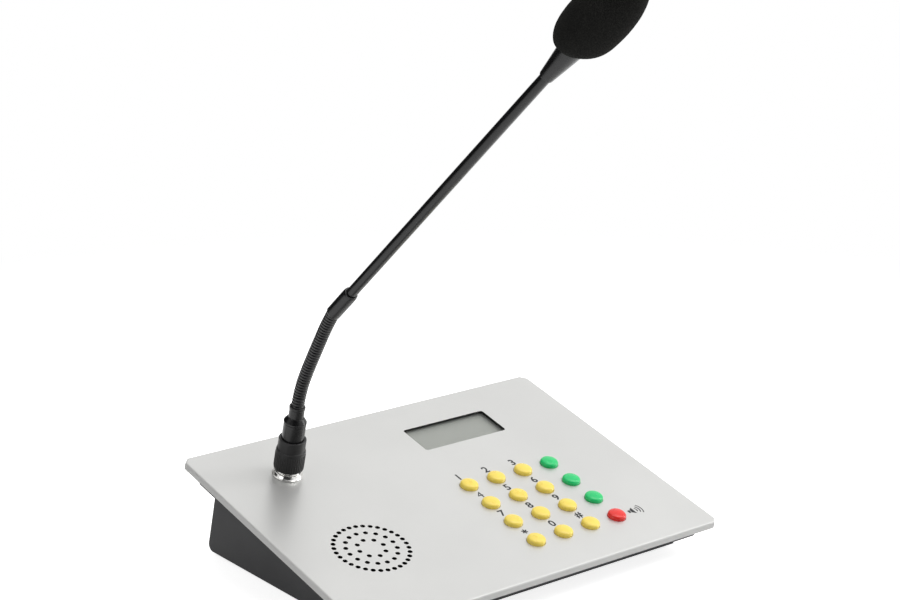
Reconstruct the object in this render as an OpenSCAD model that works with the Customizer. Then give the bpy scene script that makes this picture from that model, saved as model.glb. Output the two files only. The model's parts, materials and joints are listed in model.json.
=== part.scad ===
// Desktop paging microphone: a sloping console with a round keypad, a display, a loudspeaker
// and a gooseneck microphone that plugs into the top panel.
// +X is the user's right, +Y points away from the user, +Z is up, and z = 0 is the desk.

/* [Top panel] */
// Width of the top panel, left to right
panel_w = 301; // [290:0.5:320]
// Length of the top panel along its slope
panel_l = 213; // [205:0.5:225]
// Thickness of the panel sheet
panel_t = 2; // [1.5:0.1:2.5]
// Slope of the panel, in degrees
panel_tilt = 13.7; // [10:0.1:16]
// Depth of the turned-down lip, from the panel's top surface
lip_depth = 5; // [4:0.1:6]
// Length cut off each corner, along both edges
corner_cut = 4; // [3:0.5:14]
// Height of the panel's front edge above the underside of the case
front_rise = 19.5; // [18:0.5:24]
// How far the panel's centre stands behind the middle of the whole footprint
panel_back = 70.2; // [60:0.1:80]

/* [Lower case] */
// Wall thickness of the case
case_wall = 1.5; // [1.2:0.1:2]
// Distance from the panel's side edges in to the case walls
case_side_in = 20; // [16:0.5:24]
// Distance from the panel's front edge in to the case's front wall
case_front_in = 18; // [14:0.5:22]
// Distance from the panel's back edge in to the case's rear wall
case_back_in = 15; // [12:0.5:18]
// Outside radius of the edge between the case's rear wall and its floor
case_edge_r = 4.5; // [3:0.5:6]
// Depth of the flange's underside below the panel's top surface
flange_depth = 8.4; // [8:0.1:9]
// Gap from the outside of the panel's lip in to the flange's rim
rim_in = 2.5; // [2.2:0.1:3]
// Length cut off each corner of the flange
rim_cut = 17; // [12:0.5:20]
// Height of the rubber feet
foot_h = 2.5; // [2:0.5:4]
// Diameter of the rubber feet
foot_d = 14; // [10:1:18]

/* [Loudspeaker grille] */
// Place of the grille's centre across the panel, from the panel's centre
grille_u = -93.7; // [-100:0.1:-85]
// Place of the grille's centre up the panel
grille_v = -32.6; // [-36:0.1:-28]
// Radius of the outer ring of holes
grille_r = 25; // [24:0.1:26]
// Distance from one ring of holes to the next
grille_step = 7.8; // [7:0.1:8.5]
// Diameter of the grille holes
grille_hole_d = 3; // [2.5:0.1:3.2]

/* [Keypad] */
// Place of the keypad's centre across the panel
keypad_u = 49.3; // [45:0.1:55]
// Place of the keypad's centre up the panel
keypad_v = -35.8; // [-38:0.1:-32]
// Distance from one key to the next
key_pitch = 24.1; // [23:0.1:25]
// Diameter of a key cap
key_d = 12.8; // [12:0.1:13.2]
// Height of a key cap above the panel
key_h = 3.8; // [3:0.1:4.5]
// Radius of the key cap's rounded edge
key_edge_r = 1.7; // [0.8:0.1:2]
// How far a key goes down
key_travel = 0.5; // [0.3:0.1:0.8]

/* [Display] */
// Place of the display's centre across the panel
display_u = 50.1; // [45:0.1:55]
// Place of the display's centre up the panel
display_v = 63.7; // [58:0.1:68]
// Width of the display cut-out
display_w = 72; // [66:0.5:76]
// Height of the display cut-out
display_l = 28.4; // [26:0.2:30]
// Corner radius of the display cut-out
display_r = 2; // [1:0.5:3]

/* [Microphone plug] */
// Place of the microphone socket across the panel
mic_u = -94.6; // [-100:0.1:-85]
// Place of the microphone socket up the panel
mic_v = 63; // [55:0.1:70]
// Radius of the socket's flange
socket_r = 10.3; // [10:0.1:11]
// Height of the socket above the panel
socket_h = 5; // [4.5:0.1:5.2]
// Height of the lock ring's lower edge above the panel
ring_low = 5.5; // [5.3:0.1:6]
// Height of the step near the top of the lock ring
ring_step = 20.3; // [19:0.1:22]
// Height of the lock ring's upper edge
ring_top = 28.7; // [27:0.1:30]
// Radius of the lock ring's ribbed part
ring_r = 10.05; // [9.8:0.05:10.3]
// Radius of the lock ring's upper part
ring_neck_r = 9.15; // [8.9:0.05:9.4]
// Radius of the plug's shell
shell_r = 7.33; // [7:0.01:7.6]
// Height of the shell's upper edge
shell_top = 40.5; // [39:0.1:42]
// Height of the plug cap's upper edge, at the end of its taper
cap_top = 45; // [44:0.1:46]
// Height of the neck sleeve's upper edge
sleeve_top = 53.3; // [52:0.1:54]
// Radius of the neck sleeve
sleeve_r = 4.9; // [4.7:0.1:5.2]

/* [Gooseneck] */
// Turn of the neck from straight ahead towards the user's right, in degrees
neck_turn = 5.8; // [-20:0.1:20]
// Height of the lowest neck joint above the panel
neck_low = 54.6; // [54.3:0.1:56]
// Distance from one neck joint to the next
link_l = 13.4; // [12:0.1:15]
// Forward lean of each neck link from the panel's normal, in degrees, lowest link first
link_lean = [4, 12.5, 15.5, 16, 16, 20.5];
// Outside radius of the gooseneck's ribs
rib_r = 4.1; // [4:0.05:4.3]
// Radius between the ribs
core_r = 3.45; // [3.2:0.05:3.5]
// Number of ribs on a link
ribs = 6; // [5:1:7]
// Width of a rib
rib_w = 1.25; // [1:0.05:1.4]

/* [Stem and head] */
// Forward lean of the stem from the panel's normal, in degrees
stem_lean = 32.2; // [25:0.1:40]
// Radius of the collar
collar_r = 4.4; // [4.3:0.05:4.6]
// Length of the collar
collar_l = 25.2; // [22:0.2:28]
// Radius of the stem tube
stem_r = 3.4; // [3.2:0.05:3.6]
// Distance from the top neck joint to the head cone
cone_at = 257; // [230:1:280]
// Length of the head cone
cone_l = 26; // [24:0.5:32]
// Radius of the head cone at its lower end
cone_low_r = 3.9; // [3.7:0.1:4.2]
// Radius of the head cone at its upper end
cone_top_r = 7.4; // [6.5:0.1:7.6]
// Distance from the top neck joint to the windscreen's centre
foam_at = 313.7; // [300:0.1:330]
// Largest radius of the windscreen
foam_r = 18; // [17:0.1:19]
// Half the windscreen's length
foam_half = 37.6; // [35:0.1:40]
// Distance from the windscreen's centre down to its cut end
foam_cut = 32; // [30:0.1:37]
// Forward tilt of the windscreen on the head, in degrees
foam_nod = 4; // [0:0.5:5]

/* [Hidden] */
// Roundness of true circles
$fn = 64;
// Small overlap that joins solids of one piece and clears cuts
eps = 0.01;
// Gap between parts that only rest side by side
gap = 0.05;

// Panel: height of its centre's top surface above the underside of the case
mid_rise = front_rise + panel_l / 2 * sin(panel_tilt);

// Case: walls in panel coordinates, u across, v up the slope, w out of the panel
case_u = panel_w / 2 - case_side_in;
case_front_v = -panel_l / 2 + case_front_in;
case_back_v = panel_l / 2 - case_back_in;
flange_t = case_wall;

// Place of the case's underside under a point v of the panel, less a wall of thickness t
function floor_w(v, t = 0) = -(mid_rise - t + v * sin(panel_tilt)) / cos(panel_tilt);

// Corner cut of an outline that lies t inside another one whose corners are cut at 45 degrees
function cut_inside(cut, t) = cut - t * (2 - sqrt(2));

// Panel screws: places, and sizes of an M3 pan-head screw
screw_r = 1.45;
screw_hole_r = 1.5;
head_r = 2.8;
head_h = 1.8;
boss_r = 3;
panel_screw_u = panel_w / 2 - 12;
panel_screw_v = 72;
panel_screw_ends = [[-75, -panel_l / 2 + 10.5], [75, -panel_l / 2 + 10.5]];
panel_screws_at = concat(
    [for (side = [-1, 1], row = [-1, 0, 1]) [side * panel_screw_u, row * panel_screw_v]],
    panel_screw_ends);

// Feet: places on the desk, from the panel's centre
feet_x = case_u - 18;
feet_y = [case_front_v * cos(panel_tilt) + 24, case_back_v * cos(panel_tilt) - 8];

// Loudspeaker, in depths below the panel's top surface
cloth_t = 0.4;
cloth_r = 27.6;
speaker_half = 28.5;
speaker_screw_at = 24.5;
speaker_top = panel_t + 2.4;
speaker_flange_t = 1.2;
magnet_r = 16;
magnet_t = 8;
basket_depth = 14;
basket_low_r = 17.2;
basket_top_r = 27.2;
basket_wall = 1.2;
basket_window_w = 14;
speaker_mouth_r = 26;
cone_rim_r = 24.4;
pole_r = 8.5;

// Keys, from their board up
key_hole_r = key_d / 2 + 0.2;
key_skirt_r = key_d / 2 + 0.9;
key_skirt_t = 1;
key_stem_r = 3;
key_stem_end = panel_t + 4.6;
plunger_r = 1.75;
plunger_l = 2.4;
switch_half = 6;
switch_top = key_stem_end + key_travel + 0.3;
switch_h = 4.1;
keypad_board_w = 102;
keypad_board_l = 98;
board_t = 1.6;
keypad_board_top = switch_top + switch_h;
keypad_spacer_u = keypad_board_w / 2 - 3.5;
keypad_spacer_v = keypad_board_l / 2 - 3.5;
key_edge_u = key_d / 2 - key_edge_r;
key_crown = 0.5;
key_side_h = key_h - key_edge_r - key_crown;
// Radius of the dome that meets the rounded edge without a corner
key_drop = key_h - key_side_h;
key_dome_r = (key_edge_u * key_edge_u + key_drop * key_drop - key_edge_r * key_edge_r)
    / (2 * key_crown);

// Display stack, in depths below the panel's top surface
window_over = 3;
window_t = 1.5;
glass_top = panel_t + window_t + 0.2;
glass_t = 2.8;
display_board_top = 9;
display_board_w = 92;
display_board_l = 46;
display_spacer_u = display_board_w / 2 - 3.3;
display_spacer_v = display_board_l / 2 - 3.3;

// Main board, parallel to the panel over the sloping floor
main_u = [-60, 100];
main_v = [6, case_back_v - 5];
main_top = 40;
main_hole_in = 5;
main_hole_back_in = 30;
spacer_r = 2.8;
main_holes = [
    for (u = [main_u[0] + main_hole_in, main_u[1] - main_hole_in],
         v = [main_v[0] + main_hole_in, main_v[1] - main_hole_back_in]) [u, v]];
// Chips on the main board, each with its centre and its width
chips = [[-20, 40, 18], [12, 42, 12], [-40, 62, 14]];
chip_h = 2.2;
capacitor_r = 4;
capacitor_h = 11;
capacitors_at = [[60, 24], [72, 24], [84, 24]];

// Sockets at the back: places across the panel and sizes
network_u = 70;
network_w = 16;
network_h = 13.5;
network_l = 21;
network_hole_w = 11.9;
network_hole_h = 8.2;
network_hole_l = 13;
network_hole_up = 2.6;
power_u = 42;
power_w = 9;
power_h = 11;
power_l = 14;
power_bore_r = 3.1;
power_pin_r = 1;
power_bore_l = 9.5;
audio_u = 18;
audio_w = 6.4;
audio_h = 7;
audio_l = 14;
audio_nose_r = 2.9;
audio_bore_r = 1.8;
audio_bore_l = 13;
jack_proud = 0.8;
jack_gap = 0.2;

// Microphone socket and plug, in heights above the panel's top surface
socket_barrel_r = 7.6;
socket_barrel_low = -12;
socket_bore_r = 6.7;
socket_thread_r = 8.2;
socket_thread_top = 13;
nut_half = 9.5;
nut_t = 3;
insert_t = 5;
nose_r = 6.6;
nose_low = -4;
nose_bore_r = 5.8;
plug_insert = [3, 11];
plug_flange_r = 8.1;
plug_flange = [14.2, 15.8];
ring_bore_r = 8.27;
ring_ledge = 16;
ring_ribs = 40;
ring_rib_r = 0.55;
ring_plain = 1.6;
pin_r = 0.6;
pin_ring_r = 3.2;
pins = 5;
pin_ends = [-10, 12];
band_r = 7.45;
band_top = 42;
cap_r = 5.2;
sleeve_lip_r = 5.15;
sleeve_lip_h = 1.8;
sleeve_bore_r = 4.15;

// Neck joints: a ball on each link turns in the cup of the next one
ball_r = 2.9;
cup_r = 2.95;
joint_gap = 0.7;
neck_bore_r = 1.3;
link_count = len(link_lean);
base_ribs = 7;
rib_cut = 0.3;

// Sum of one coordinate of the links below joint i, forward or up
function forward_to(i) = i <= 0 ? 0 : forward_to(i - 1) + link_l * sin(link_lean[i - 1]);
function up_to(i) = i <= 0 ? 0 : up_to(i - 1) + link_l * cos(link_lean[i - 1]);

// Head
stem_low = 12;
stem_wall = 0.6;
collar_cut = 0.9;
cone_grip = 8;
cup_l = 26;
cup_wall = 0.8;
cup_slot_w = 3;
cup_slot_h = 9;
capsule_r = 6.1;
capsule_l = 5;
foam_bore_r = cone_top_r + 0.05;
foam_bore_end = cone_at + cone_l + cup_l - foam_at + 0.1;
foam_power = 2.25;
foam_steps = 14;

// Colours
silver = [0.86, 0.86, 0.85];
case_grey = [0.13, 0.13, 0.14];
soft_black = [0.07, 0.07, 0.08];
board_green = [0.1, 0.35, 0.2];
steel = [0.7, 0.7, 0.72];
chrome = [0.85, 0.86, 0.88];
key_yellow = [0.98, 0.82, 0.3];
key_green = [0.15, 0.72, 0.4];
key_red = [0.85, 0.15, 0.15];

// Keys: node name, column and row from the front left, and colour
KEYS = [
    ["key_1", 0, 3, key_yellow],
    ["key_2", 1, 3, key_yellow],
    ["key_3", 2, 3, key_yellow],
    ["key_4", 0, 2, key_yellow],
    ["key_5", 1, 2, key_yellow],
    ["key_6", 2, 2, key_yellow],
    ["key_7", 0, 1, key_yellow],
    ["key_8", 1, 1, key_yellow],
    ["key_9", 2, 1, key_yellow],
    ["key_star", 0, 0, key_yellow],
    ["key_0", 1, 0, key_yellow],
    ["key_hash", 2, 0, key_yellow],
    ["key_green_a", 3, 3, key_green],
    ["key_green_b", 3, 2, key_green],
    ["key_green_c", 3, 1, key_green],
    ["key_red", 3, 0, key_red],
];

LINKS = [for (i = [1 : link_count]) str("neck_link_", i)];

// Places children in panel coordinates: u right, v up the slope, w out of the top surface
module on_panel() {
    translate([0, panel_back, foot_h + mid_rise])
        rotate([panel_tilt, 0, 0])
            children();
}

// Places children on the microphone socket's axis, -y being the way that the neck leans
module on_socket() {
    on_panel()
        translate([mic_u, mic_v, 0])
            rotate([0, 0, neck_turn])
                children();
}

// Places children at neck joint i, leaning forward by the given angle
module at_joint(i, lean) {
    on_socket()
        translate([0, -forward_to(i), neck_low + up_to(i)])
            rotate([lean, 0, 0])
                children();
}

// Places children on the stem's axis, z = 0 being the top neck joint
module on_stem() {
    at_joint(link_count, stem_lean)
        children();
}

// Rectangle with its four corners cut at 45 degrees
module cut_rectangle(w, l, cut) {
    polygon([
        [-w / 2 + cut, -l / 2], [w / 2 - cut, -l / 2],
        [w / 2, -l / 2 + cut], [w / 2, l / 2 - cut],
        [w / 2 - cut, l / 2], [-w / 2 + cut, l / 2],
        [-w / 2, l / 2 - cut], [-w / 2, -l / 2 + cut],
    ]);
}

// Rectangle with rounded corners, made of true arcs
module round_rectangle(w, l, r) {
    square([w - 2 * r, l], center = true);
    square([w, l - 2 * r], center = true);
    for (x = [-1, 1], y = [-1, 1])
        translate([x * (w / 2 - r), y * (l / 2 - r)])
            circle(r);
}

// Slab between two depths below the panel's top surface, from an outline in u and v
module slab(top, bottom) {
    translate([0, 0, -bottom])
        linear_extrude(bottom - top)
            children();
}

// Ring turned about z between two heights
module ring(outer_r, inner_r, low, high) {
    translate([0, 0, low])
        difference() {
            cylinder(r = outer_r, h = high - low);
            translate([0, 0, -1])
                cylinder(r = inner_r, h = high - low + 2);
        }
}

// Centre of a key on the panel, from its column and row
function key_at(column, row) = [
    keypad_u + (column - 1.5) * key_pitch,
    keypad_v + (row - 1.5) * key_pitch,
];

// Outline of the grille's holes: three rings with 32, 16 and 8 holes
module grille_holes() {
    for (ring_no = [0 : 2]) {
        count = 32 / pow(2, ring_no);
        for (k = [0 : count - 1])
            rotate(180 + k * 360 / count)
                translate([grille_r - ring_no * grille_step, 0])
                    circle(d = grille_hole_d);
    }
}

module top_panel() {
    color(silver)
        on_panel() {
            difference() {
                slab(0, panel_t)
                    cut_rectangle(panel_w, panel_l, corner_cut);
                slab(-1, panel_t + 1) {
                    translate([grille_u, grille_v])
                        grille_holes();
                    for (k = KEYS)
                        translate(key_at(k[1], k[2]))
                            circle(key_hole_r);
                    translate([display_u, display_v])
                        round_rectangle(display_w, display_l, display_r);
                    translate([mic_u, mic_v])
                        circle(socket_barrel_r + gap);
                }
            }
            slab(panel_t - eps, lip_depth)
                difference() {
                    cut_rectangle(panel_w, panel_l, corner_cut);
                    cut_rectangle(
                        panel_w - 2 * panel_t, panel_l - 2 * panel_t,
                        cut_inside(corner_cut, panel_t));
                }
            for (p = panel_screws_at)
                translate([p[0], p[1], 0])
                    ring(boss_r, screw_hole_r, -flange_depth + flange_t, -panel_t + eps);
            for (x = [-1, 1], y = [-1, 1])
                translate([grille_u + x * speaker_screw_at, grille_v + y * speaker_screw_at, 0])
                    ring(boss_r, screw_hole_r, -speaker_top, -panel_t + eps);
        }
}

// Side view of the case's inside or outside, t being the depth in from the outside
module case_side(t) {
    r = case_edge_r - t;
    front = case_front_v + t;
    back = case_back_v - t;
    low_back = floor_w(back, t);
    // Length cut off both sides of the rear edge by its radius
    reach = r / tan((90 - panel_tilt) / 2);
    polygon([
        [front, -flange_depth + flange_t],
        [front, floor_w(front, t)],
        [back - reach * cos(panel_tilt), low_back + reach * sin(panel_tilt)],
        [back - r, low_back + reach],
        [back, low_back + reach],
        [back, -flange_depth + flange_t],
    ]);
    translate([back - r, low_back + reach])
        circle(r);
}

module lower_case() {
    rim_w = panel_w - 2 * rim_in;
    rim_l = panel_l - 2 * rim_in;
    color(case_grey)
        on_panel()
            difference() {
                union() {
                    slab(panel_t + gap, flange_depth)
                        cut_rectangle(rim_w, rim_l, rim_cut);
                    rotate([90, 0, 90])
                        translate([0, 0, -case_u])
                            linear_extrude(2 * case_u)
                                case_side(0);
                }
                // The tray inside the rim
                slab(panel_t, flange_depth - flange_t)
                    cut_rectangle(
                        rim_w - 2 * flange_t, rim_l - 2 * flange_t,
                        cut_inside(rim_cut, flange_t));
                // The case's inside
                rotate([90, 0, 90])
                    translate([0, 0, -case_u + case_wall])
                        linear_extrude(2 * (case_u - case_wall))
                            case_side(case_wall);
                slab(flange_depth - flange_t - 1, flange_depth + 1)
                    translate([-case_u + case_wall, case_front_v + case_wall])
                        square([2 * (case_u - case_wall), case_back_v - case_front_v - 2 * case_wall]);
                for (p = panel_screws_at)
                    translate([p[0], p[1], -flange_depth - 1])
                        cylinder(r = screw_hole_r, h = flange_t + 2);
                rear_openings();
            }
}

// Cut-outs in the rear wall for the three sockets
module rear_openings() {
    for (j = [[network_u, network_w, network_h], [power_u, power_w, power_h]])
        translate([j[0] - j[1] / 2 - jack_gap, case_back_v - case_wall - 1, -main_top - jack_gap])
            cube([j[1] + 2 * jack_gap, case_wall + 2, j[2] + 2 * jack_gap]);
    translate([audio_u, case_back_v + 1, -main_top + audio_h / 2])
        rotate([90, 0, 0])
            cylinder(r = audio_nose_r + jack_gap, h = case_wall + 2);
}

// Pan-head screw that points up the panel's normal, its head's top at z = 0
module screw(length) {
    translate([0, 0, -head_h])
        cylinder(r = head_r, h = head_h);
    translate([0, 0, -eps])
        cylinder(r = screw_r, h = length + eps);
}

module panel_screws() {
    color(steel)
        on_panel()
            for (p = panel_screws_at)
                translate([p[0], p[1], -flange_depth])
                    screw(5.5);
}

module rubber_feet() {
    color(soft_black)
        for (x = [-feet_x, feet_x], y = feet_y)
            translate([x, panel_back + y, 0]) {
                cylinder(r = foot_d / 2, h = foot_h - 0.8);
                translate([0, 0, foot_h - 0.8 - eps])
                    cylinder(r = foot_d / 2 - 0.6, h = 0.8 + eps);
            }
}

module grille_cloth() {
    color(soft_black)
        on_panel()
            slab(panel_t, panel_t + cloth_t)
                translate([grille_u, grille_v])
                    circle(cloth_r);
}

module speaker_frame() {
    flange_low = speaker_top + speaker_flange_t;
    basket_low = -speaker_top - basket_depth;
    basket_h = basket_depth - speaker_flange_t / 2;
    color(soft_black)
        on_panel()
            translate([grille_u, grille_v, 0]) {
                difference() {
                    slab(speaker_top, flange_low)
                        round_rectangle(2 * speaker_half, 2 * speaker_half, 4);
                    slab(speaker_top - 1, flange_low + 1) {
                        circle(speaker_mouth_r);
                        for (x = [-1, 1], y = [-1, 1])
                            translate([x * speaker_screw_at, y * speaker_screw_at])
                                circle(screw_hole_r);
                    }
                }
                difference() {
                    translate([0, 0, basket_low])
                        cylinder(r1 = basket_low_r, r2 = basket_top_r, h = basket_h);
                    translate([0, 0, basket_low + basket_wall])
                        cylinder(
                            r1 = basket_low_r - basket_wall, r2 = basket_top_r - basket_wall,
                            h = basket_h);
                    for (a = [45 : 90 : 315])
                        rotate([0, 0, a])
                            translate([0, -basket_window_w / 2, basket_low + 2 * basket_wall])
                                cube([
                                    2 * basket_top_r, basket_window_w,
                                    basket_h - 4 * basket_wall,
                                ]);
                    translate([0, 0, basket_low - 1])
                        cylinder(r = pole_r + 0.5, h = basket_wall + 2);
                }
            }
}

// Paper cone with its surround and dust cap, as one turned skin
module speaker_cone() {
    top = -speaker_top - 0.2;
    color([0.18, 0.18, 0.17])
        on_panel()
            translate([grille_u, grille_v, 0])
                rotate_extrude()
                    polygon([
                        [0, top - 5], [5.5, top - 6], [6.5, top - 8], [21.4, top - 1.6],
                        [22.8, top - 0.4], [cone_rim_r, top - 0.6],
                        [cone_rim_r, top - 1.1], [23, top - 1],
                        [21.7, top - 2.2], [6.6, top - 8.7], [5, top - 6.6], [0, top - 5.6],
                    ]);
}

module speaker_magnet() {
    low = -speaker_top - basket_depth;
    color([0.25, 0.25, 0.27])
        on_panel()
            translate([grille_u, grille_v, low - magnet_t]) {
                cylinder(r = magnet_r, h = magnet_t);
                cylinder(r = pole_r, h = magnet_t + 3);
            }
}

module speaker_screws() {
    color(steel)
        on_panel()
            for (x = [-1, 1], y = [-1, 1])
                translate([
                    grille_u + x * speaker_screw_at,
                    grille_v + y * speaker_screw_at,
                    -speaker_top - speaker_flange_t,
                ])
                    screw(3.2);
}

module keypad_board() {
    color(board_green)
        on_panel()
            slab(keypad_board_top, keypad_board_top + board_t)
                translate([keypad_u, keypad_v])
                    difference() {
                        square([keypad_board_w, keypad_board_l], center = true);
                        for (x = [-1, 1], y = [-1, 1])
                            translate([x * keypad_spacer_u, y * keypad_spacer_v])
                                circle(screw_hole_r);
                    }
}

module key_switches() {
    color(soft_black)
        on_panel()
            for (k = KEYS)
                translate(concat(key_at(k[1], k[2]), [-switch_top - switch_h]))
                    difference() {
                        translate([-switch_half, -switch_half, 0])
                            cube([2 * switch_half, 2 * switch_half, switch_h]);
                        translate([0, 0, 0.8])
                            cylinder(r = plunger_r + 0.1, h = switch_h);
                    }
}

// Hexagonal spacer from z = 0 down, with a tapped bore
module spacer(length) {
    difference() {
        translate([0, 0, -length])
            cylinder(r = spacer_r, h = length, $fn = 6);
        translate([0, 0, -length - 1])
            cylinder(r = screw_hole_r, h = length + 2);
    }
}

module keypad_spacers() {
    color(steel)
        on_panel()
            for (x = [-1, 1], y = [-1, 1])
                translate([keypad_u + x * keypad_spacer_u, keypad_v + y * keypad_spacer_v, -panel_t])
                    spacer(keypad_board_top - panel_t);
}

// Key cap with its skirt under the panel, its stem and the switch plunger that it sits on
module key_cap(column, row, shade) {
    centre_w = key_h - key_dome_r;
    color(shade)
        on_panel()
            translate(concat(key_at(column, row), [0])) {
                rotate_extrude() {
                    translate([0, -panel_t - gap])
                        square([key_d / 2, panel_t + gap + key_side_h]);
                    square([key_edge_u, key_side_h + key_edge_r / 2]);
                    translate([key_edge_u, key_side_h])
                        circle(key_edge_r);
                    intersection() {
                        translate([0, centre_w])
                            circle(key_dome_r, $fn = 256);
                        polygon([
                            [0, key_side_h], [key_edge_u, key_side_h],
                            [key_edge_u * 1.2, key_side_h + 0.2 * (key_side_h - centre_w)],
                            [0, key_h + 1],
                        ]);
                    }
                    translate([0, -panel_t - gap - key_skirt_t])
                        square([key_skirt_r, key_skirt_t + eps]);
                }
                translate([0, 0, -key_stem_end])
                    cylinder(r = key_stem_r, h = key_stem_end - panel_t);
                translate([0, 0, -key_stem_end - plunger_l])
                    cylinder(r = plunger_r, h = plunger_l + eps);
            }
}

module display_window() {
    color([0.6, 0.62, 0.6, 0.5])
        on_panel()
            slab(panel_t, panel_t + window_t)
                translate([display_u, display_v])
                    square([display_w + 2 * window_over, display_l + 2 * window_over], center = true);
}

module display_glass() {
    color([0.64, 0.65, 0.61])
        on_panel()
            slab(glass_top, glass_top + glass_t)
                translate([display_u, display_v])
                    square([display_w + 4, display_l + 4], center = true);
}

module display_board() {
    color(board_green)
        on_panel()
            difference() {
                union() {
                    slab(display_board_top, display_board_top + board_t)
                        translate([display_u, display_v])
                            square([display_board_w, display_board_l], center = true);
                    slab(glass_top + glass_t, display_board_top + eps)
                        translate([display_u, display_v])
                            square([display_w + 2, display_l + 2], center = true);
                }
                for (x = [-1, 1], y = [-1, 1])
                    translate([
                        display_u + x * display_spacer_u,
                        display_v + y * display_spacer_v,
                        -display_board_top - board_t - 1,
                    ])
                        cylinder(r = screw_hole_r, h = board_t + 2);
            }
}

module display_spacers() {
    color(steel)
        on_panel()
            for (x = [-1, 1], y = [-1, 1])
                translate([
                    display_u + x * display_spacer_u,
                    display_v + y * display_spacer_v,
                    -panel_t,
                ])
                    spacer(display_board_top - panel_t);
}

module main_board() {
    color(board_green)
        on_panel() {
            slab(main_top, main_top + board_t)
                difference() {
                    translate([main_u[0], main_v[0]])
                        square([main_u[1] - main_u[0], main_v[1] - main_v[0]]);
                    for (p = main_holes)
                        translate(p)
                            circle(screw_hole_r);
                }
            // Processor, memory and amplifier
            for (c = chips)
                translate([c[0] - c[2] / 2, c[1] - c[2] / 2, -main_top - eps])
                    cube([c[2], c[2], chip_h]);
            // Smoothing capacitors
            for (p = capacitors_at)
                translate([p[0], p[1], -main_top - eps])
                    cylinder(r = capacitor_r, h = capacitor_h);
        }
}

// Spacers that stand on the sloping floor and reach the main board
module board_spacers() {
    color(steel)
        on_panel()
            for (p = main_holes)
                translate([p[0], p[1], -main_top - board_t])
                    intersection() {
                        spacer(60);
                        translate([-10, -p[1], 0])
                            rotate([90, 0, 90])
                                linear_extrude(20)
                                    polygon([
                                        [p[1] - 10, 1], [p[1] + 10, 1],
                                        [p[1] + 10, floor_w(p[1] + 10, case_wall) + main_top + board_t],
                                        [p[1] - 10, floor_w(p[1] - 10, case_wall) + main_top + board_t],
                                    ]);
                    }
}

// Screw whose head rests on z = 0 and whose shank goes down
module board_screw(length) {
    rotate([180, 0, 0])
        screw(length);
}

module board_screws() {
    color(steel)
        on_panel() {
            for (p = main_holes)
                translate([p[0], p[1], -main_top])
                    board_screw(board_t + 2.5);
            for (x = [-1, 1], y = [-1, 1]) {
                translate([
                    keypad_u + x * keypad_spacer_u,
                    keypad_v + y * keypad_spacer_v,
                    -keypad_board_top - board_t,
                ])
                    screw(board_t + 3);
                translate([
                    display_u + x * display_spacer_u,
                    display_v + y * display_spacer_v,
                    -display_board_top - board_t,
                ])
                    screw(board_t + 3);
            }
        }
}

module network_jack() {
    mouth_v = case_back_v + jack_proud;
    color([0.2, 0.2, 0.22])
        on_panel()
            difference() {
                translate([network_u - network_w / 2, mouth_v - network_l, -main_top])
                    cube([network_w, network_l, network_h]);
                translate([
                    network_u - network_hole_w / 2,
                    mouth_v - network_hole_l,
                    -main_top + network_hole_up,
                ])
                    cube([network_hole_w, network_hole_l + 1, network_hole_h]);
            }
}

module power_jack() {
    mouth_v = case_back_v + jack_proud;
    color([0.1, 0.1, 0.1])
        on_panel()
            translate([power_u, mouth_v, -main_top + power_h / 2])
                rotate([90, 0, 0]) {
                    difference() {
                        translate([-power_w / 2, -power_h / 2, 0])
                            cube([power_w, power_h, power_l]);
                        translate([0, 0, -1])
                            cylinder(r = power_bore_r, h = power_bore_l + 1);
                    }
                    translate([0, 0, 1])
                        cylinder(r = power_pin_r, h = power_bore_l - 0.5);
                }
}

module audio_jack() {
    mouth_v = case_back_v + jack_proud;
    // Depth of the jack's square body below its mouth, just inside the case wall
    body_from = case_wall + jack_proud + 0.3;
    color([0.1, 0.1, 0.1])
        on_panel()
            translate([audio_u, mouth_v, -main_top + audio_h / 2])
                rotate([90, 0, 0])
                    difference() {
                        union() {
                            cylinder(r = audio_nose_r, h = body_from + jack_gap);
                            translate([-audio_w / 2, -audio_h / 2, body_from])
                                cube([audio_w, audio_h, audio_l]);
                        }
                        translate([0, 0, -1])
                            cylinder(r = audio_bore_r, h = audio_bore_l + 1);
                    }
}

// Chromed socket: flange, bevel and threaded nose over the panel, barrel under it
module mic_socket() {
    color(chrome)
        on_socket()
            difference() {
                rotate_extrude()
                    polygon([
                        [0, socket_barrel_low], [socket_barrel_r, socket_barrel_low],
                        [socket_barrel_r, 0], [socket_r - 0.3, 0], [socket_r, 0.3],
                        [socket_r, 1], [socket_r - 0.4, 1.4], [socket_r - 0.5, 2.2],
                        [socket_r - 1.4, 4.2], [socket_thread_r + 0.5, socket_h],
                        [socket_thread_r, socket_h], [socket_thread_r, socket_thread_top - 0.4],
                        [socket_thread_r - 0.4, socket_thread_top], [0, socket_thread_top],
                    ]);
                translate([0, 0, socket_barrel_low - 1])
                    cylinder(r = socket_bore_r, h = socket_thread_top - socket_barrel_low + 2);
            }
}

module socket_nut() {
    color(steel)
        on_socket()
            translate([0, 0, -panel_t - nut_t])
                difference() {
                    cylinder(r = nut_half / cos(30), h = nut_t, $fn = 6);
                    translate([0, 0, -1])
                        cylinder(r = socket_barrel_r + gap, h = nut_t + 2);
                }
}

// Places children at each contact of the plug and socket
module at_pins() {
    for (k = [0 : pins - 1])
        rotate([0, 0, k * 360 / pins])
            translate([0, -pin_ring_r, 0])
                children();
}

module socket_insert() {
    color(soft_black)
        on_socket()
            translate([0, 0, socket_barrel_low])
                difference() {
                    cylinder(r = socket_bore_r - 0.02, h = insert_t);
                    at_pins()
                        translate([0, 0, -1])
                            cylinder(r = pin_r + gap, h = insert_t + 2);
                }
}

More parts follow.
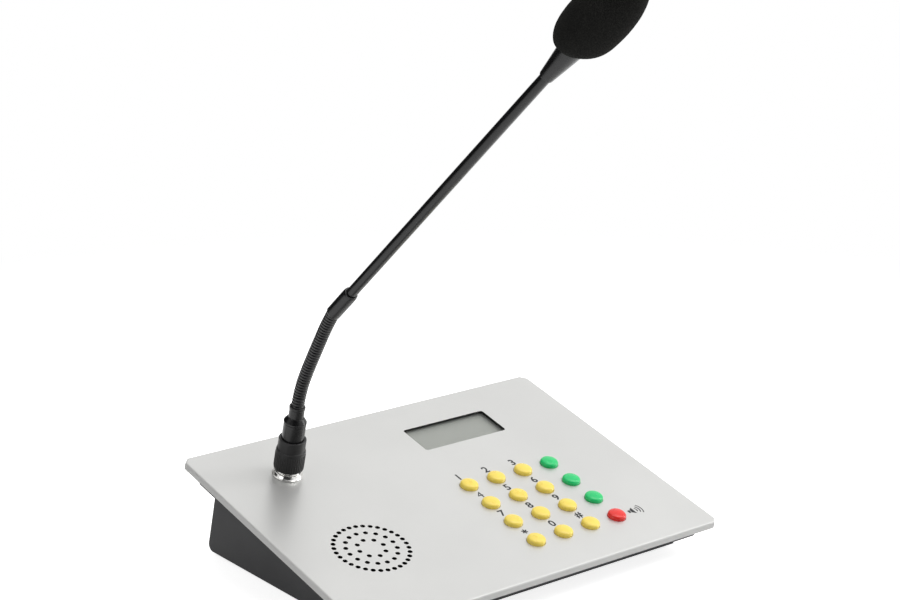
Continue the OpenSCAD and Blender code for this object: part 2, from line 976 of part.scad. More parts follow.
module plug_shell() {
    color(soft_black)
        on_socket()
            difference() {
                rotate_extrude()
                    polygon([
                        [0, nose_low], [nose_r, nose_low], [nose_r, plug_flange[0]],
                        [plug_flange_r, plug_flange[0]], [plug_flange_r, plug_flange[1]],
                        [shell_r, plug_flange[1]], [shell_r, shell_top], [0, shell_top],
                    ]);
                translate([0, 0, nose_low - 1])
                    cylinder(r = nose_bore_r, h = shell_top - nose_low + 2);
            }
}

module plug_insert() {
    color([0.2, 0.2, 0.2])
        on_socket()
            translate([0, 0, plug_insert[0]])
                difference() {
                    cylinder(r = nose_bore_r - 0.02, h = plug_insert[1] - plug_insert[0]);
                    at_pins()
                        translate([0, 0, -1])
                            cylinder(r = pin_r, h = plug_insert[1] - plug_insert[0] + 2);
                }
}

module plug_pins() {
    color([0.85, 0.7, 0.35])
        on_socket()
            at_pins()
                translate([0, 0, pin_ends[0]])
                    cylinder(r = pin_r, h = pin_ends[1] - pin_ends[0]);
}

// Ribbed ring that screws the plug onto the socket and turns freely on the plug's shell
module lock_ring() {
    color(soft_black)
        on_socket() {
            difference() {
                rotate_extrude()
                    polygon([
                        [0, ring_low], [ring_r - 1.2, ring_low], [ring_r - 0.2, ring_low + 1],
                        [ring_r - 0.2, ring_step - 0.6], [ring_r - 0.6, ring_step - 0.2],
                        [ring_neck_r, ring_step], [ring_neck_r, ring_top - 0.3],
                        [ring_neck_r - 0.3, ring_top], [0, ring_top],
                    ]);
                translate([0, 0, ring_low - 1])
                    cylinder(r = ring_bore_r, h = ring_ledge - ring_low + 1);
                translate([0, 0, ring_low])
                    cylinder(r = shell_r + 0.07, h = ring_top - ring_low + 1);
            }
            for (k = [0 : ring_ribs - 1])
                rotate([0, 0, k * 360 / ring_ribs])
                    translate([ring_r - ring_rib_r, 0, ring_low + ring_plain])
                        cylinder(r = ring_rib_r, h = ring_step - ring_low - 2 * ring_plain, $fn = 8);
        }
}

// Cap that closes the plug shell: a short band and a taper to the neck sleeve
module plug_cap() {
    color(soft_black)
        on_socket()
            difference() {
                rotate_extrude()
                    polygon([
                        [0, shell_top], [band_r, shell_top], [band_r, band_top],
                        [cap_r, cap_top], [0, cap_top],
                    ]);
                translate([0, 0, shell_top - 1])
                    cylinder(r = sleeve_bore_r, h = cap_top - shell_top + 2);
            }
}

module neck_sleeve() {
    color(soft_black)
        on_socket()
            difference() {
                union() {
                    translate([0, 0, cap_top])
                        cylinder(r = sleeve_r, h = sleeve_top - cap_top);
                    translate([0, 0, sleeve_top - sleeve_lip_h])
                        cylinder(r = sleeve_lip_r, h = sleeve_lip_h);
                }
                translate([0, 0, cap_top - 1])
                    cylinder(r = sleeve_bore_r, h = sleeve_top - cap_top + 2);
            }
}

// Ribbed tube between two heights on z, its ribs spread evenly
module ribbed_tube(low, high, count) {
    step = (high - low - rib_w) / (count - 1);
    rotate_extrude() {
        translate([0, low])
            square([core_r, high - low]);
        for (k = [0 : count - 1])
            translate([0, low + k * step])
                polygon([
                    [0, 0], [rib_r - rib_cut, 0], [rib_r, rib_cut],
                    [rib_r, rib_w - rib_cut], [rib_r - rib_cut, rib_w], [0, rib_w],
                ]);
    }
}

// Ball at the top of a link, centred on the next joint at height z
module link_ball(z) {
    difference() {
        translate([0, 0, z])
            sphere(ball_r);
        translate([0, 0, z + ball_r * 0.6])
            cylinder(r = 2 * ball_r, h = 2 * ball_r);
    }
}

// Lowest stretch of the gooseneck, held in the sleeve
module neck_base() {
    low = shell_top;
    color(soft_black)
        on_socket()
            difference() {
                union() {
                    ribbed_tube(low, neck_low - joint_gap, base_ribs);
                    link_ball(neck_low);
                }
                translate([0, 0, low - 1])
                    cylinder(r = neck_bore_r, h = neck_low - low + 10);
            }
}

// One link of the gooseneck: cup below, ribs, ball above
module neck_link(i) {
    color(soft_black)
        at_joint(i, link_lean[i])
            difference() {
                union() {
                    ribbed_tube(joint_gap, link_l - joint_gap, ribs);
                    link_ball(link_l);
                }
                sphere(cup_r);
                translate([0, 0, -1])
                    cylinder(r = neck_bore_r, h = link_l + 10);
            }
}

// Collar over the stem's lower end, with the cup of the top neck joint
module stem_collar() {
    color(soft_black)
        on_stem()
            difference() {
                rotate_extrude()
                    polygon([
                        [0, joint_gap], [collar_r - collar_cut, joint_gap],
                        [collar_r, joint_gap + collar_cut * 1.4],
                        [collar_r, collar_l - 2.4], [collar_r - 0.35, collar_l - 0.4],
                        [collar_r - 0.6, collar_l], [0, collar_l],
                    ]);
                sphere(cup_r);
                translate([0, 0, -1])
                    cylinder(r = neck_bore_r, h = collar_l);
                translate([0, 0, stem_low])
                    cylinder(r = stem_r + 0.02, h = collar_l);
            }
}

module stem_tube() {
    color(soft_black)
        on_stem()
            ring(stem_r, stem_r - stem_wall, stem_low, cone_at + cone_grip);
}

module head_cone() {
    color(soft_black)
        on_stem()
            difference() {
                translate([0, 0, cone_at])
                    cylinder(r1 = cone_low_r, r2 = cone_top_r, h = cone_l);
                translate([0, 0, cone_at - 1])
                    cylinder(r = stem_r + 0.02, h = cone_grip + 1);
                translate([0, 0, cone_at])
                    cylinder(r = stem_r - stem_wall, h = cone_l + 1);
            }
}

module capsule_cup() {
    color(soft_black)
        on_stem()
            difference() {
                ring(cone_top_r, cone_top_r - cup_wall, cone_at + cone_l, cone_at + cone_l + cup_l);
                for (a = [0 : 60 : 120])
                    rotate([0, 0, a])
                        translate([-foam_r, -cup_slot_w / 2, cone_at + cone_l + 5])
                            cube([2 * foam_r, cup_slot_w, cup_slot_h]);
            }
}

module mic_capsule() {
    top = cone_at + cone_l + cup_l - 1;
    color(steel)
        on_stem() {
            translate([0, 0, top - capsule_l])
                cylinder(r = capsule_r, h = capsule_l);
            translate([0, 0, top - capsule_l - 1.5])
                cylinder(r = capsule_r - 1.5, h = 2);
        }
}

// Radius of the windscreen at height z from its centre
function foam_radius(z) = foam_r
    * pow(1 - pow(min(1, abs(z) / foam_half), foam_power), 1 / foam_power);

// Foam windscreen: an egg with a cut lower end and a blind bore for the head
module windscreen() {
    heights = [for (k = [0 : foam_steps - 1])
        -foam_cut + (foam_cut + foam_half) * (1 - cos(180 * k / foam_steps)) / 2];
    outline = [for (z = heights) [foam_radius(z), z]];
    color([0.1, 0.1, 0.1])
        on_stem()
            difference() {
                translate([0, 0, foam_at])
                    rotate([foam_nod, 0, 0])
                        rotate_extrude()
                            polygon(concat([[0, -foam_cut]], outline, [[0, foam_half]]));
                translate([0, 0, foam_at - foam_half - 5])
                    cylinder(r = foam_bore_r, h = foam_half + 5 + foam_bore_end);
            }
}

top_panel();
lower_case();
panel_screws();
rubber_feet();
grille_cloth();
speaker_frame();
speaker_cone();
speaker_magnet();
speaker_screws();
keypad_board();
key_switches();
keypad_spacers();
display_window();
display_glass();
display_board();
display_spacers();
main_board();
board_spacers();
board_screws();
network_jack();
power_jack();
audio_jack();
mic_socket();
socket_nut();
socket_insert();
plug_shell();
plug_insert();
plug_pins();
lock_ring();
plug_cap();
neck_sleeve();
neck_base();
for (i = [0 : link_count - 1])
    neck_link(i);
stem_collar();
stem_tube();
head_cone();
capsule_cup();
mic_capsule();
windscreen();
for (k = KEYS)
    key_cap(k[1], k[2], k[3]);
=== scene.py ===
# %% [markdown]
# # A desktop paging microphone
#
# A sloping console carries a loudspeaker, a display and sixteen round keys. A gooseneck
# microphone with a foam windscreen stands in a screwed socket at its back left corner.
# The mechanical model is already packed: this lesson loads it as a fixed frame, and then
# dresses it piece by piece until it looks like the real thing.

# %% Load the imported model
import json
import math

import bmesh
import bpy
import numpy as np
from mathutils import Matrix, Vector


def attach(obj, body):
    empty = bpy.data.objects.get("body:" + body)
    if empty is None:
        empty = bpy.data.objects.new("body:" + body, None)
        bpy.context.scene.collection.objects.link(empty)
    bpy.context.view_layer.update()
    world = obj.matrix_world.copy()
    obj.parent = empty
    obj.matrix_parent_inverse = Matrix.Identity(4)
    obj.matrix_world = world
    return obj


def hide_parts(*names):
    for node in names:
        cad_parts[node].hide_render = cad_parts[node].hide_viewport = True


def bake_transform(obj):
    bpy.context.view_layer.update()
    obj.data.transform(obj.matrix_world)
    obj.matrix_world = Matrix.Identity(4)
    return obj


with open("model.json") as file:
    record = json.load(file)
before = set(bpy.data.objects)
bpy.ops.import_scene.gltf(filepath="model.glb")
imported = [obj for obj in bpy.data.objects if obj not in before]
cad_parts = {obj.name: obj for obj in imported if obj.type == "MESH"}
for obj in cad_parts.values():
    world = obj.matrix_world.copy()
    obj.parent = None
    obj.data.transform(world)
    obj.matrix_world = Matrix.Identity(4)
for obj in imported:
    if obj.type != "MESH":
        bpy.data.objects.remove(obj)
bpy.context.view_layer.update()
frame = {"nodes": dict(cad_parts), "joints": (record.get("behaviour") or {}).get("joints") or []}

# %% [markdown]
# ## The console's own coordinates
#
# Everything on the console lies on one sloping sheet, so it is easiest to draw in that
# sheet's coordinates: u to the right, v up the slope and w out of it, in millimetres, from
# the middle of the panel's top surface. One matrix then puts a finished mesh in its place in
# the room, in metres. The neck has such a matrix too, standing on the microphone socket.

# %% Matrices of the panel, the socket and the stem
MM = 0.001
PANEL_TILT = math.radians(13.7)
PANEL_WIDTH, PANEL_LENGTH = 301.0, 213.0
FRONT_EDGE = 2.5 + 19.5                     # the feet, and the case's front over them
PANEL_MIDDLE_Y = 70.2
SOCKET_AT = (-94.6, 63.0)
NECK_TURN = math.radians(5.8)
NECK_LOW, LINK_LENGTH = 54.6, 13.4
LINK_LEANS = [math.radians(a) for a in (4, 12.5, 15.5, 16, 16, 20.5)]
STEM_LEAN = math.radians(32.2)

panel_middle_z = FRONT_EDGE + PANEL_LENGTH / 2 * math.sin(PANEL_TILT)
panel = (Matrix.Scale(MM, 4) @ Matrix.Translation((0, PANEL_MIDDLE_Y, panel_middle_z))
         @ Matrix.Rotation(PANEL_TILT, 4, "X"))
socket = panel @ Matrix.Translation((*SOCKET_AT, 0)) @ Matrix.Rotation(NECK_TURN, 4, "Z")


def neck_joint(i):
    """Place of neck joint i, and the ways along the links below and above it, all in the
    socket's coordinates."""
    forward = sum(LINK_LENGTH * math.sin(a) for a in LINK_LEANS[:i])
    up = sum(LINK_LENGTH * math.cos(a) for a in LINK_LEANS[:i])
    below, above = (Vector((0, -math.sin(a), math.cos(a)))
                    for a in ([0.0] + LINK_LEANS + [STEM_LEAN])[i:i + 2])
    return Vector((0, -forward, NECK_LOW + up)), below, above


stem = (socket @ Matrix.Translation(neck_joint(len(LINK_LEANS))[0])
        @ Matrix.Rotation(STEM_LEAN, 4, "X"))
for joint in frame["joints"]:
    if joint["name"] == "neck_bend_4":
        miss = (stem.translation - Vector(joint["pos_m"])).length
        print(f"the stem's foot is {miss * 1e6:.1f} micrometres from the packed joint")

# %% [markdown]
# ## The camera
#
# The photograph was taken from the front left, a little above the console. Its focal
# length and place were solved from the panel's outline, the key grid and the grille, so the
# camera is simply put there. It comes first because every later choice is judged through it.

# %% Put the camera where the photograph was taken
view = bpy.data.cameras.new("photograph_view")
view.sensor_width, view.lens = 36.0, 88.43
view.clip_start, view.clip_end = 0.05, 20.0
camera = bpy.data.objects.new("photograph_view", view)
camera.location = (-0.88573, -1.01567, 0.58841)
camera.rotation_euler = [math.radians(a) for a in (73.805, -0.671, -38.825)]
bpy.context.scene.collection.objects.link(camera)
bpy.context.scene.camera = camera
print("camera to the panel's middle:",
      round((camera.location - panel.translation).length, 3), "m")

# %% [markdown]
# ## Small tools
#
# Both geometry trees and material trees are made of nodes, so one helper adds a node, sets
# its inputs and links what is handed in. It hands back the node's output as a Value, which
# works like a number: a sum or a product of Values adds the math node that makes it. Other
# helpers put a finished mesh in the scene, with its CAD body and the nodes it stands for.


# %% A node's output that works like a number
class Value:
    """A node's output. + - * / ** add a math node, and value["Name"] is another output."""

    def __init__(self, output):
        self.output = output

    def __getitem__(self, name):
        return Value(self.output.node.outputs[name])

    def __add__(self, other):
        return calc("ADD", self, other)

    def __sub__(self, other):
        return calc("SUBTRACT", self, other)

    def __rsub__(self, other):
        return calc("SUBTRACT", other, self)

    def __mul__(self, other):
        return calc("MULTIPLY", self, other)

    def __truediv__(self, other):
        return calc("DIVIDE", self, other)

    def __rtruediv__(self, other):
        return calc("DIVIDE", other, self)

    def __pow__(self, other):
        return calc("POWER", self, other)


# %% Adding nodes and feeding their inputs
def feed(tree, target, value):
    """Link a Value to an input, or set the input to a number or a colour."""
    if isinstance(value, Value):
        tree.links.new(value.output, target)
    else:
        target.default_value = value


def add_node(tree, kind, inputs=None, **settings):
    node = tree.nodes.new(kind)
    for name, setting in settings.items():
        setattr(node, name, setting)
    for key, value in (inputs or {}).items():
        feed(tree, node.inputs[key], value)
    return Value(node.outputs[0])


def calc(operation, a, b=0.0):
    """Math node; a or b is a Value, whose tree it joins."""
    tree = (a if isinstance(a, Value) else b).output.id_data
    return add_node(tree, "ShaderNodeMath", {0: a, 1: b}, operation=operation)


def xyz(tree, x=0.0, y=0.0, z=0.0):
    return add_node(tree, "ShaderNodeCombineXYZ", {0: x, 1: y, 2: z})


def vector_math(tree, operation, a, b):
    second = "Scale" if operation == "SCALE" else 1
    return add_node(tree, "ShaderNodeVectorMath", {0: a, second: b}, operation=operation)


# %% Node groups
def new_group(name, inputs=(), kind="ShaderNodeTree"):
    """Node group. An input is a label with a number, or with the type of its socket."""
    tree = bpy.data.node_groups.new(name, kind)
    for label, value in inputs:
        number = "Int" if isinstance(value, int) else "Float"
        entry = tree.interface.new_socket(label, in_out="INPUT", socket_type="NodeSocket" + (
            value if isinstance(value, str) else number))
        if not isinstance(value, str):
            entry.default_value = value
    return tree, add_node(tree, "NodeGroupInput")


def give_out(tree, kind="Float", **values):
    """Hand Values out of a group."""
    for label in values:
        tree.interface.new_socket(label, in_out="OUTPUT", socket_type="NodeSocket" + kind)
    out = tree.nodes.new("NodeGroupOutput")
    for label, value in values.items():
        feed(tree, out.inputs[label], value)
    print(f"{tree.name}: group of {len(tree.nodes)} nodes")
    return tree


# %% Meshes and pieces
def edited(mesh, change):
    """The mesh after a change to its bmesh."""
    bm = bmesh.new()
    bm.from_mesh(mesh)
    change(bm)
    bm.to_mesh(mesh)
    bm.free()
    return mesh


def welded(mesh, distance):
    return edited(mesh, lambda bm: bmesh.ops.remove_doubles(bm, verts=bm.verts, dist=distance))


def mesh_of(name, corners, edges=(), faces=()):
    mesh = bpy.data.meshes.new(name)
    mesh.from_pydata(corners, edges, faces)
    return mesh


def put_in_scene(name, mesh, body, replaces=(), material=None):
    """Link a mesh as a piece that rides on a CAD body."""
    piece = bpy.data.objects.new(name, mesh)
    bpy.context.scene.collection.objects.link(piece)
    if material is not None:
        mesh.materials.append(material)
    if body:
        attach(piece, body)
    if replaces:
        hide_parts(*replaces)
    return piece


def faces_of(mesh):
    """Number of triangles, to keep an eye on the size of a piece."""
    mesh.calc_loop_triangles()
    return len(mesh.loop_triangles)


# %% [markdown]
# ## Shared finishes
#
# Real surfaces are never one flat value. Three effects come back in many materials here: a
# fine grain, the soft smudges that handling leaves, and bare metal where an edge has been
# rubbed. Each one is a node group, built once, that hands a mask or a height to the
# material. They all read Object coordinates, which stay with a piece when it moves.


# %% Node groups for grain, smudges and worn edges
def object_place(tree):
    return add_node(tree, "ShaderNodeTexCoord")["Object"]


def noise_value(tree, scale, detail, roughness):
    return add_node(tree, "ShaderNodeTexNoise", {
        "Vector": object_place(tree), "Scale": scale, "Detail": detail,
        "Roughness": roughness})["Fac"]


def clamped(tree, value):
    return add_node(tree, "ShaderNodeClamp", {"Value": value})


def make_grain():
    """Fine speckle, as a height."""
    tree, given = new_group("fine_grain", [("Scale", 3000.0)])
    return give_out(tree, Height=noise_value(tree, given["Scale"], 3.0, 0.6))


def make_smudges():
    """Soft patches from 0 to 1, with finer streaks in them."""
    tree, given = new_group("smudges", [("Scale", 25.0), ("Contrast", 3.0)])
    broad = noise_value(tree, given["Scale"], 4.0, 0.62)
    return give_out(tree, Mask=clamped(tree, (broad - 0.5) * given["Contrast"] + 0.5))


def make_edge_wear():
    """Rubbed edges: the piece's own edge attribute, broken up by noise."""
    tree, given = new_group("edge_wear", [("Scale", 900.0), ("Amount", 0.5)])
    edge = add_node(tree, "ShaderNodeAttribute", attribute_name="edge")["Fac"]
    spots = noise_value(tree, given["Scale"], 4.0, 0.7)
    return give_out(tree, Mask=clamped(tree, (spots + edge * given["Amount"] - 0.75) * 8.0))


GRAIN, SMUDGES, EDGE_WEAR = make_grain(), make_smudges(), make_edge_wear()


# %% A material with grain, smudges and worn edges
def srgb(red, green, blue):
    """Linear colour from screen values of 0 to 255."""
    return tuple((c / 255 / 12.92) if c <= 10 else ((c / 255 + 0.055) / 1.055) ** 2.4
                 for c in (red, green, blue)) + (1.0,)


def use_group(tree, group, **inputs):
    return add_node(tree, "ShaderNodeGroup", inputs, node_tree=group)


def mixed(tree, factor, a, b):
    """Colour between a and b."""
    return add_node(tree, "ShaderNodeMix", {0: factor, 6: a, 7: b}, data_type="RGBA")[2]


def bump(tree, height, depth, **under):
    """Normal of a height, whose depth is in millimetres, over another normal."""
    return add_node(tree, "ShaderNodeBump", {
        "Strength": 1.0, "Distance": depth * MM, "Height": height, **under})


def set_shader(material, **inputs):
    """Feed the inputs of the material's shader; Base_Color is its input Base Color."""
    tree = material.node_tree
    for name, value in inputs.items():
        feed(tree, tree.nodes["Principled BSDF"].inputs[name.replace("_", " ")], value)


def make_finish(name, colour, roughness, grain=(3000.0, 0.03), smudge=(25.0, 0.08), tint=0.06,
                wear=None, **shader_settings):
    """Principled material. grain is (scale, bump depth), smudge (scale, roughness change),
    tint the share by which the smudges shade the colour, wear (amount, bare colour)."""
    material = bpy.data.materials.new(name)
    material.use_nodes = True
    tree = material.node_tree
    patches = use_group(tree, SMUDGES, Scale=smudge[0])
    speck = use_group(tree, GRAIN, Scale=grain[0])
    darker, lighter = (tuple(min(1.0, c * (1 + change)) for c in colour[:3]) + (1.0,)
                       for change in (-tint, tint))
    shade = mixed(tree, patches, darker, lighter)
    if wear:
        shade = mixed(tree, use_group(tree, EDGE_WEAR, Amount=wear[0]), shade, wear[1])
    set_shader(material, Base_Color=shade, Roughness=(patches - 0.5) * smudge[1] + roughness,
               Normal=bump(tree, speck, grain[1]), **shader_settings)
    print(f"{name}: finish of {len(tree.nodes)} nodes")
    return material


# %% [markdown]
# ## The console's top sheet
#
# The real panel is a sheet of silver anodised metal, pierced for the loudspeaker, the keys
# and the display, with its edges folded down. Its shape is a rule: outlines in a plane,
# filled and pulled down. Geometry Nodes can say exactly that. The tree makes the outlines,
# fills them at three heights and joins them with upright walls. The walls of the display
# window and of the grille holes get a near-black material: painted shade, where these holes
# lie in shadow. A Bevel modifier then gives the fold its bend radius and takes the sharpness
# off the holes, as a real press does.


# %% Helpers for geometry trees
def new_geometry_tree(name, numbers=(), others=()):
    """Geometry tree with a Geometry input, number inputs, a material and other inputs."""
    inputs = [("Geometry", "Geometry"), *numbers, ("Material", "Material"), *others]
    return new_group(name, inputs, "GeometryNodeTree")


def geo(tree, kind, inputs=None, **settings):
    return add_node(tree, "GeometryNode" + kind, inputs, **settings)


def moved(tree, geometry, x=0.0, y=0.0, z=0.0):
    return geo(tree, "Transform", {"Geometry": geometry, "Translation": xyz(tree, x, y, z)})


def joined(tree, *parts):
    """One geometry out of several."""
    whole = geo(tree, "JoinGeometry")
    for part in reversed(parts):
        feed(tree, whole.output.node.inputs[0], part)
    return whole


def copies(tree, points, instance, **turned_by):
    """Real copies of an instance on points."""
    placed = geo(tree, "InstanceOnPoints", {
        "Points": points, "Instance": instance, **turned_by})
    return geo(tree, "RealizeInstances", {"Geometry": placed})


def circle(tree, radius, points):
    return geo(tree, "CurvePrimitiveCircle", {"Resolution": points, "Radius": radius})


def in_material(tree, geometry, material):
    return geo(tree, "SetMaterial", {"Geometry": geometry, "Material": material})


# %% A plain mesh out of a geometry tree
def grown(name, tree, start=None, **values):
    """Plain mesh that a geometry tree makes from a start mesh."""
    data = start or bpy.data.meshes.new(name + "_seed")
    seed = bpy.data.objects.new(name + "_seed", data)
    bpy.context.scene.collection.objects.link(seed)
    modifier = seed.modifiers.new(name, "NODES")
    modifier.node_group = tree
    sockets = {s.name: s.identifier for s in tree.interface.items_tree
               if s.item_type == "SOCKET" and s.in_out == "INPUT"}
    for label, value in values.items():
        modifier[sockets[label.replace("_", " ")]] = value
    evaluated = seed.evaluated_get(bpy.context.evaluated_depsgraph_get())
    mesh = bpy.data.meshes.new_from_object(evaluated)
    mesh.name = name
    bpy.data.objects.remove(seed)
    return mesh


# %% Outline, wall and face of a sheet
def rounded_outline(tree, width, length, cut, steps):
    """Rectangle whose corners are cut (1 step) or rounded (more steps)."""
    box = geo(tree, "CurvePrimitiveQuadrilateral", {"Width": width, "Height": length})
    return geo(tree, "FilletCurve", {"Curve": box, "Count": steps, "Radius": cut}, mode="POLY")


def wall(tree, curve, top, height):
    """Upright wall under a flat curve, from the height top down."""
    line = geo(tree, "CurveToMesh", {"Curve": moved(tree, curve, z=top)})
    return geo(tree, "ExtrudeMesh", {"Mesh": line, "Offset": xyz(tree, z=height * -1.0),
                                     "Offset Scale": 1.0}, mode="EDGES")


def filled(tree, curves, height):
    """Flat face between curves, at a height."""
    face = geo(tree, "FillCurve", {"Curve": joined(tree, *curves)}, mode="NGONS")
    return moved(tree, face, z=height)


# %% Geometry tree of a pierced sheet with a folded lip
KEYPAD_AT, KEY_PITCH, DISPLAY_AT = (49.3, -35.8), 24.1, (50.1, 63.7)
GRILLE_AT, GRILLE_RINGS = (-93.7, -32.6), (32, 16, 8)


def make_panel_tree():
    tree, size = new_geometry_tree("pierced_panel", [
        ("Width", PANEL_WIDTH), ("Length", PANEL_LENGTH), ("Thickness", 2.0),
        ("Lip Depth", 5.0), ("Corner Cut", 4.0), ("Grille Radius", 25.0),
        ("Grille Step", 7.8), ("Grille Hole", 1.65), ("Key Pitch", KEY_PITCH),
        ("Key Hole", 6.6), ("Display Width", 72.0), ("Display Length", 28.4),
        ("Display Corner", 2.0), ("Socket Hole", 7.65)], [("Dark Wall", "Material")])
    thick, lip = size["Thickness"], size["Lip Depth"]
    outer = rounded_outline(tree, size["Width"], size["Length"], size["Corner Cut"], 1)
    inner = rounded_outline(tree, size["Width"] - thick * 2.0, size["Length"] - thick * 2.0,
                            thick * (math.sqrt(2) - 2) + size["Corner Cut"], 1)
    hole = circle(tree, size["Grille Hole"], 16)
    rings = []
    for k, count in enumerate(GRILLE_RINGS):
        radius = size["Grille Step"] * -k + size["Grille Radius"]
        centres = geo(tree, "MeshCircle", {"Vertices": count, "Radius": radius})
        rings.append(copies(tree, centres, hole))
    grille = moved(tree, joined(tree, *rings), *GRILLE_AT)
    spread = size["Key Pitch"] * 3.0
    key_grid = geo(tree, "MeshGrid", {"Size X": spread, "Size Y": spread, "Vertices X": 4,
                                      "Vertices Y": 4})
    keys = moved(tree, copies(tree, key_grid, circle(tree, size["Key Hole"], 48)), *KEYPAD_AT)
    window = moved(tree, rounded_outline(tree, size["Display Width"], size["Display Length"],
                                         size["Display Corner"], 6), *DISPLAY_AT)
    mic = moved(tree, circle(tree, size["Socket Hole"], 64), *SOCKET_AT)
    holes = joined(tree, grille, keys, window, mic)
    silver_part = joined(
        tree,
        filled(tree, [outer, holes], 0.0),
        filled(tree, [inner, holes], thick * -1.0),
        filled(tree, [outer, inner], lip * -1.0),
        wall(tree, outer, 0.0, lip),
        wall(tree, inner, thick * -1.0, lip - thick),
        wall(tree, joined(tree, keys, mic), 0.0, thick))
    # The walls of the display window and the grille holes take the near-black material: painted
    # shade in these holes.
    painted_shade_part = wall(tree, joined(tree, window, grille), 0.0, thick)
    sheet = joined(tree, in_material(tree, silver_part, size["Material"]),
                   in_material(tree, painted_shade_part, size["Dark Wall"]))
    return give_out(tree, "Geometry", Geometry=geo(tree, "MergeByDistance", {
        "Geometry": sheet, "Distance": 0.002}))


panel_tree = make_panel_tree()


# %% A place on the panel, for materials
def make_panel_place():
    """Object coordinates turned into the panel's u, v and w in millimetres."""
    tree, _ = new_group("panel_place")
    place, back = object_place(tree), panel.inverted()
    return give_out(tree, **{
        label: vector_math(tree, "DOT_PRODUCT", place, back[row][:3])["Value"] + back[row][3]
        for row, label in enumerate("UVW")})


PANEL_PLACE = make_panel_place()


# %% Silver finish of the panel, duller on the fold and the lip
def fed_to(material, name):
    """What feeds an input of the material's shader until now."""
    return Value(material.node_tree.nodes["Principled BSDF"].inputs[name].links[0].from_socket)


SILVER_METAL, SILVER_ROUGH = 0.55, 0.36
FOLD_METAL, FOLD_ROUGH = 0.06, 0.80
silver = make_finish("satin_silver", srgb(211, 211, 209), SILVER_ROUGH,
                     grain=(5200.0, 0.012), smudge=(14.0, 0.05), tint=0.012)
folded = add_node(silver.node_tree, "ShaderNodeMapRange", {
    "Value": use_group(silver.node_tree, PANEL_PLACE)["W"], "From Min": -0.01,
    "From Max": -0.30})
set_shader(silver, Metallic=folded * (FOLD_METAL - SILVER_METAL) + SILVER_METAL,
           Roughness=folded * (FOLD_ROUGH - SILVER_ROUGH) + fed_to(silver, "Roughness"))

# %% Grow the sheet, fold its edge and soften its holes
shadow_black = make_finish("painted_shade_black", (0.02, 0.02, 0.02, 1), 0.6)
# shadow_black is painted shade on the walls of the display window and the grille holes.
sheet = grown("panel_sheet", panel_tree, Material=silver, Dark_Wall=shadow_black)
RIM_FROM, LIP_EDGE = (140, 96), -4.9        # only the fold lies farther out, or lower
HOLE_BEVEL = 0.12


def edge_weight(a, b):
    """1 for the fold round the panel's top, less for holes and for the lip's lower edge."""
    flat_top = abs(a.z) < 0.01 and abs(b.z) < 0.01
    outside = any(max(abs(a[k]), abs(b[k])) > RIM_FROM[k] for k in (0, 1))
    if flat_top and outside:
        return 1.0
    return HOLE_BEVEL if flat_top or (outside and min(a.z, b.z) < LIP_EDGE) else 0.0


def weigh_edges(bm):
    """Bevel weights on the sheet's sharp edges, with its faces pointing out."""
    bmesh.ops.recalc_face_normals(bm, faces=bm.faces)
    layer = bm.edges.layers.float.new("bevel_weight_edge")
    for edge in bm.edges:
        if len(edge.link_faces) == 2 and edge.calc_face_angle(0.0) > math.radians(30):
            edge[layer] = edge_weight(edge.verts[0].co, edge.verts[1].co)


def keep_flats_flat(piece):
    """Weighted normals, so that shading on flat faces stays flat beside small arcs."""
    modifier = piece.modifiers.new("flat faces stay flat", "WEIGHTED_NORMAL")
    modifier.keep_sharp = True
    return piece


def bevelled(piece, width, segments, **limits):
    """Bevel on the edges within the limits, with flat faces left flat."""
    bevel = piece.modifiers.new("rounded edges", "BEVEL")
    bevel.width, bevel.segments, bevel.harden_normals = width, segments, False
    for name, limit in limits.items():
        setattr(bevel, name, limit)
    return keep_flats_flat(piece)


edited(sheet, weigh_edges)
sheet.transform(panel)
sheet.shade_smooth()
bevelled(put_in_scene("panel_sheet", sheet, "console", ["top_panel"]),
         1.2 * MM, 4, limit_method="WEIGHT", use_clamp_overlap=False)
print("panel sheet:", len(sheet.vertices), "corners before its bevel")

# %% [markdown]
# ## Turned parts
#
# The plug, its ring, the collar, the stem, the keys and the feet are all turned or moulded
# round an axis. Each is drawn as the outline of half a cut through it, in millimetres, and
# spun. A real part has no sharp corner, so every corner of the outline becomes a small arc
# first. Outer corners are also marked in an attribute, and the wear in the materials reads it.


# %% Outlines with softened corners
def softened(profile, radius, closed=True, steps=4):
    """Outline (radius, height) with its corners turned into arcs, and a mask of its edges."""
    points, mask = [], []
    last = len(profile) - 1
    for i, corner in enumerate(profile):
        here = Vector(corner)
        before, after = Vector(profile[i - 1]), Vector(profile[(i + 1) % len(profile)])
        into, out_of = here - before, after - here
        if (not closed and i in (0, last)) or into.angle(out_of, 0) < math.radians(18):
            points.append(here)
            mask.append(0.0)
            continue
        reach = min(radius, 0.42 * into.length, 0.42 * out_of.length)
        start, end = here - into.normalized() * reach, here + out_of.normalized() * reach
        outer = 1.0 if into.cross(out_of) > 0 else 0.0
        for k in range(steps + 1):
            share = k / steps
            points.append(start.lerp(here, share).lerp(here.lerp(end, share), share))
            mask.append(outer * math.sin(math.pi * share))
    return points, mask


square = softened([(1, 0), (2, 0), (2, 1), (1, 1)], 0.2)[0]
print("outline of a square with softened corners:", len(square), "points")


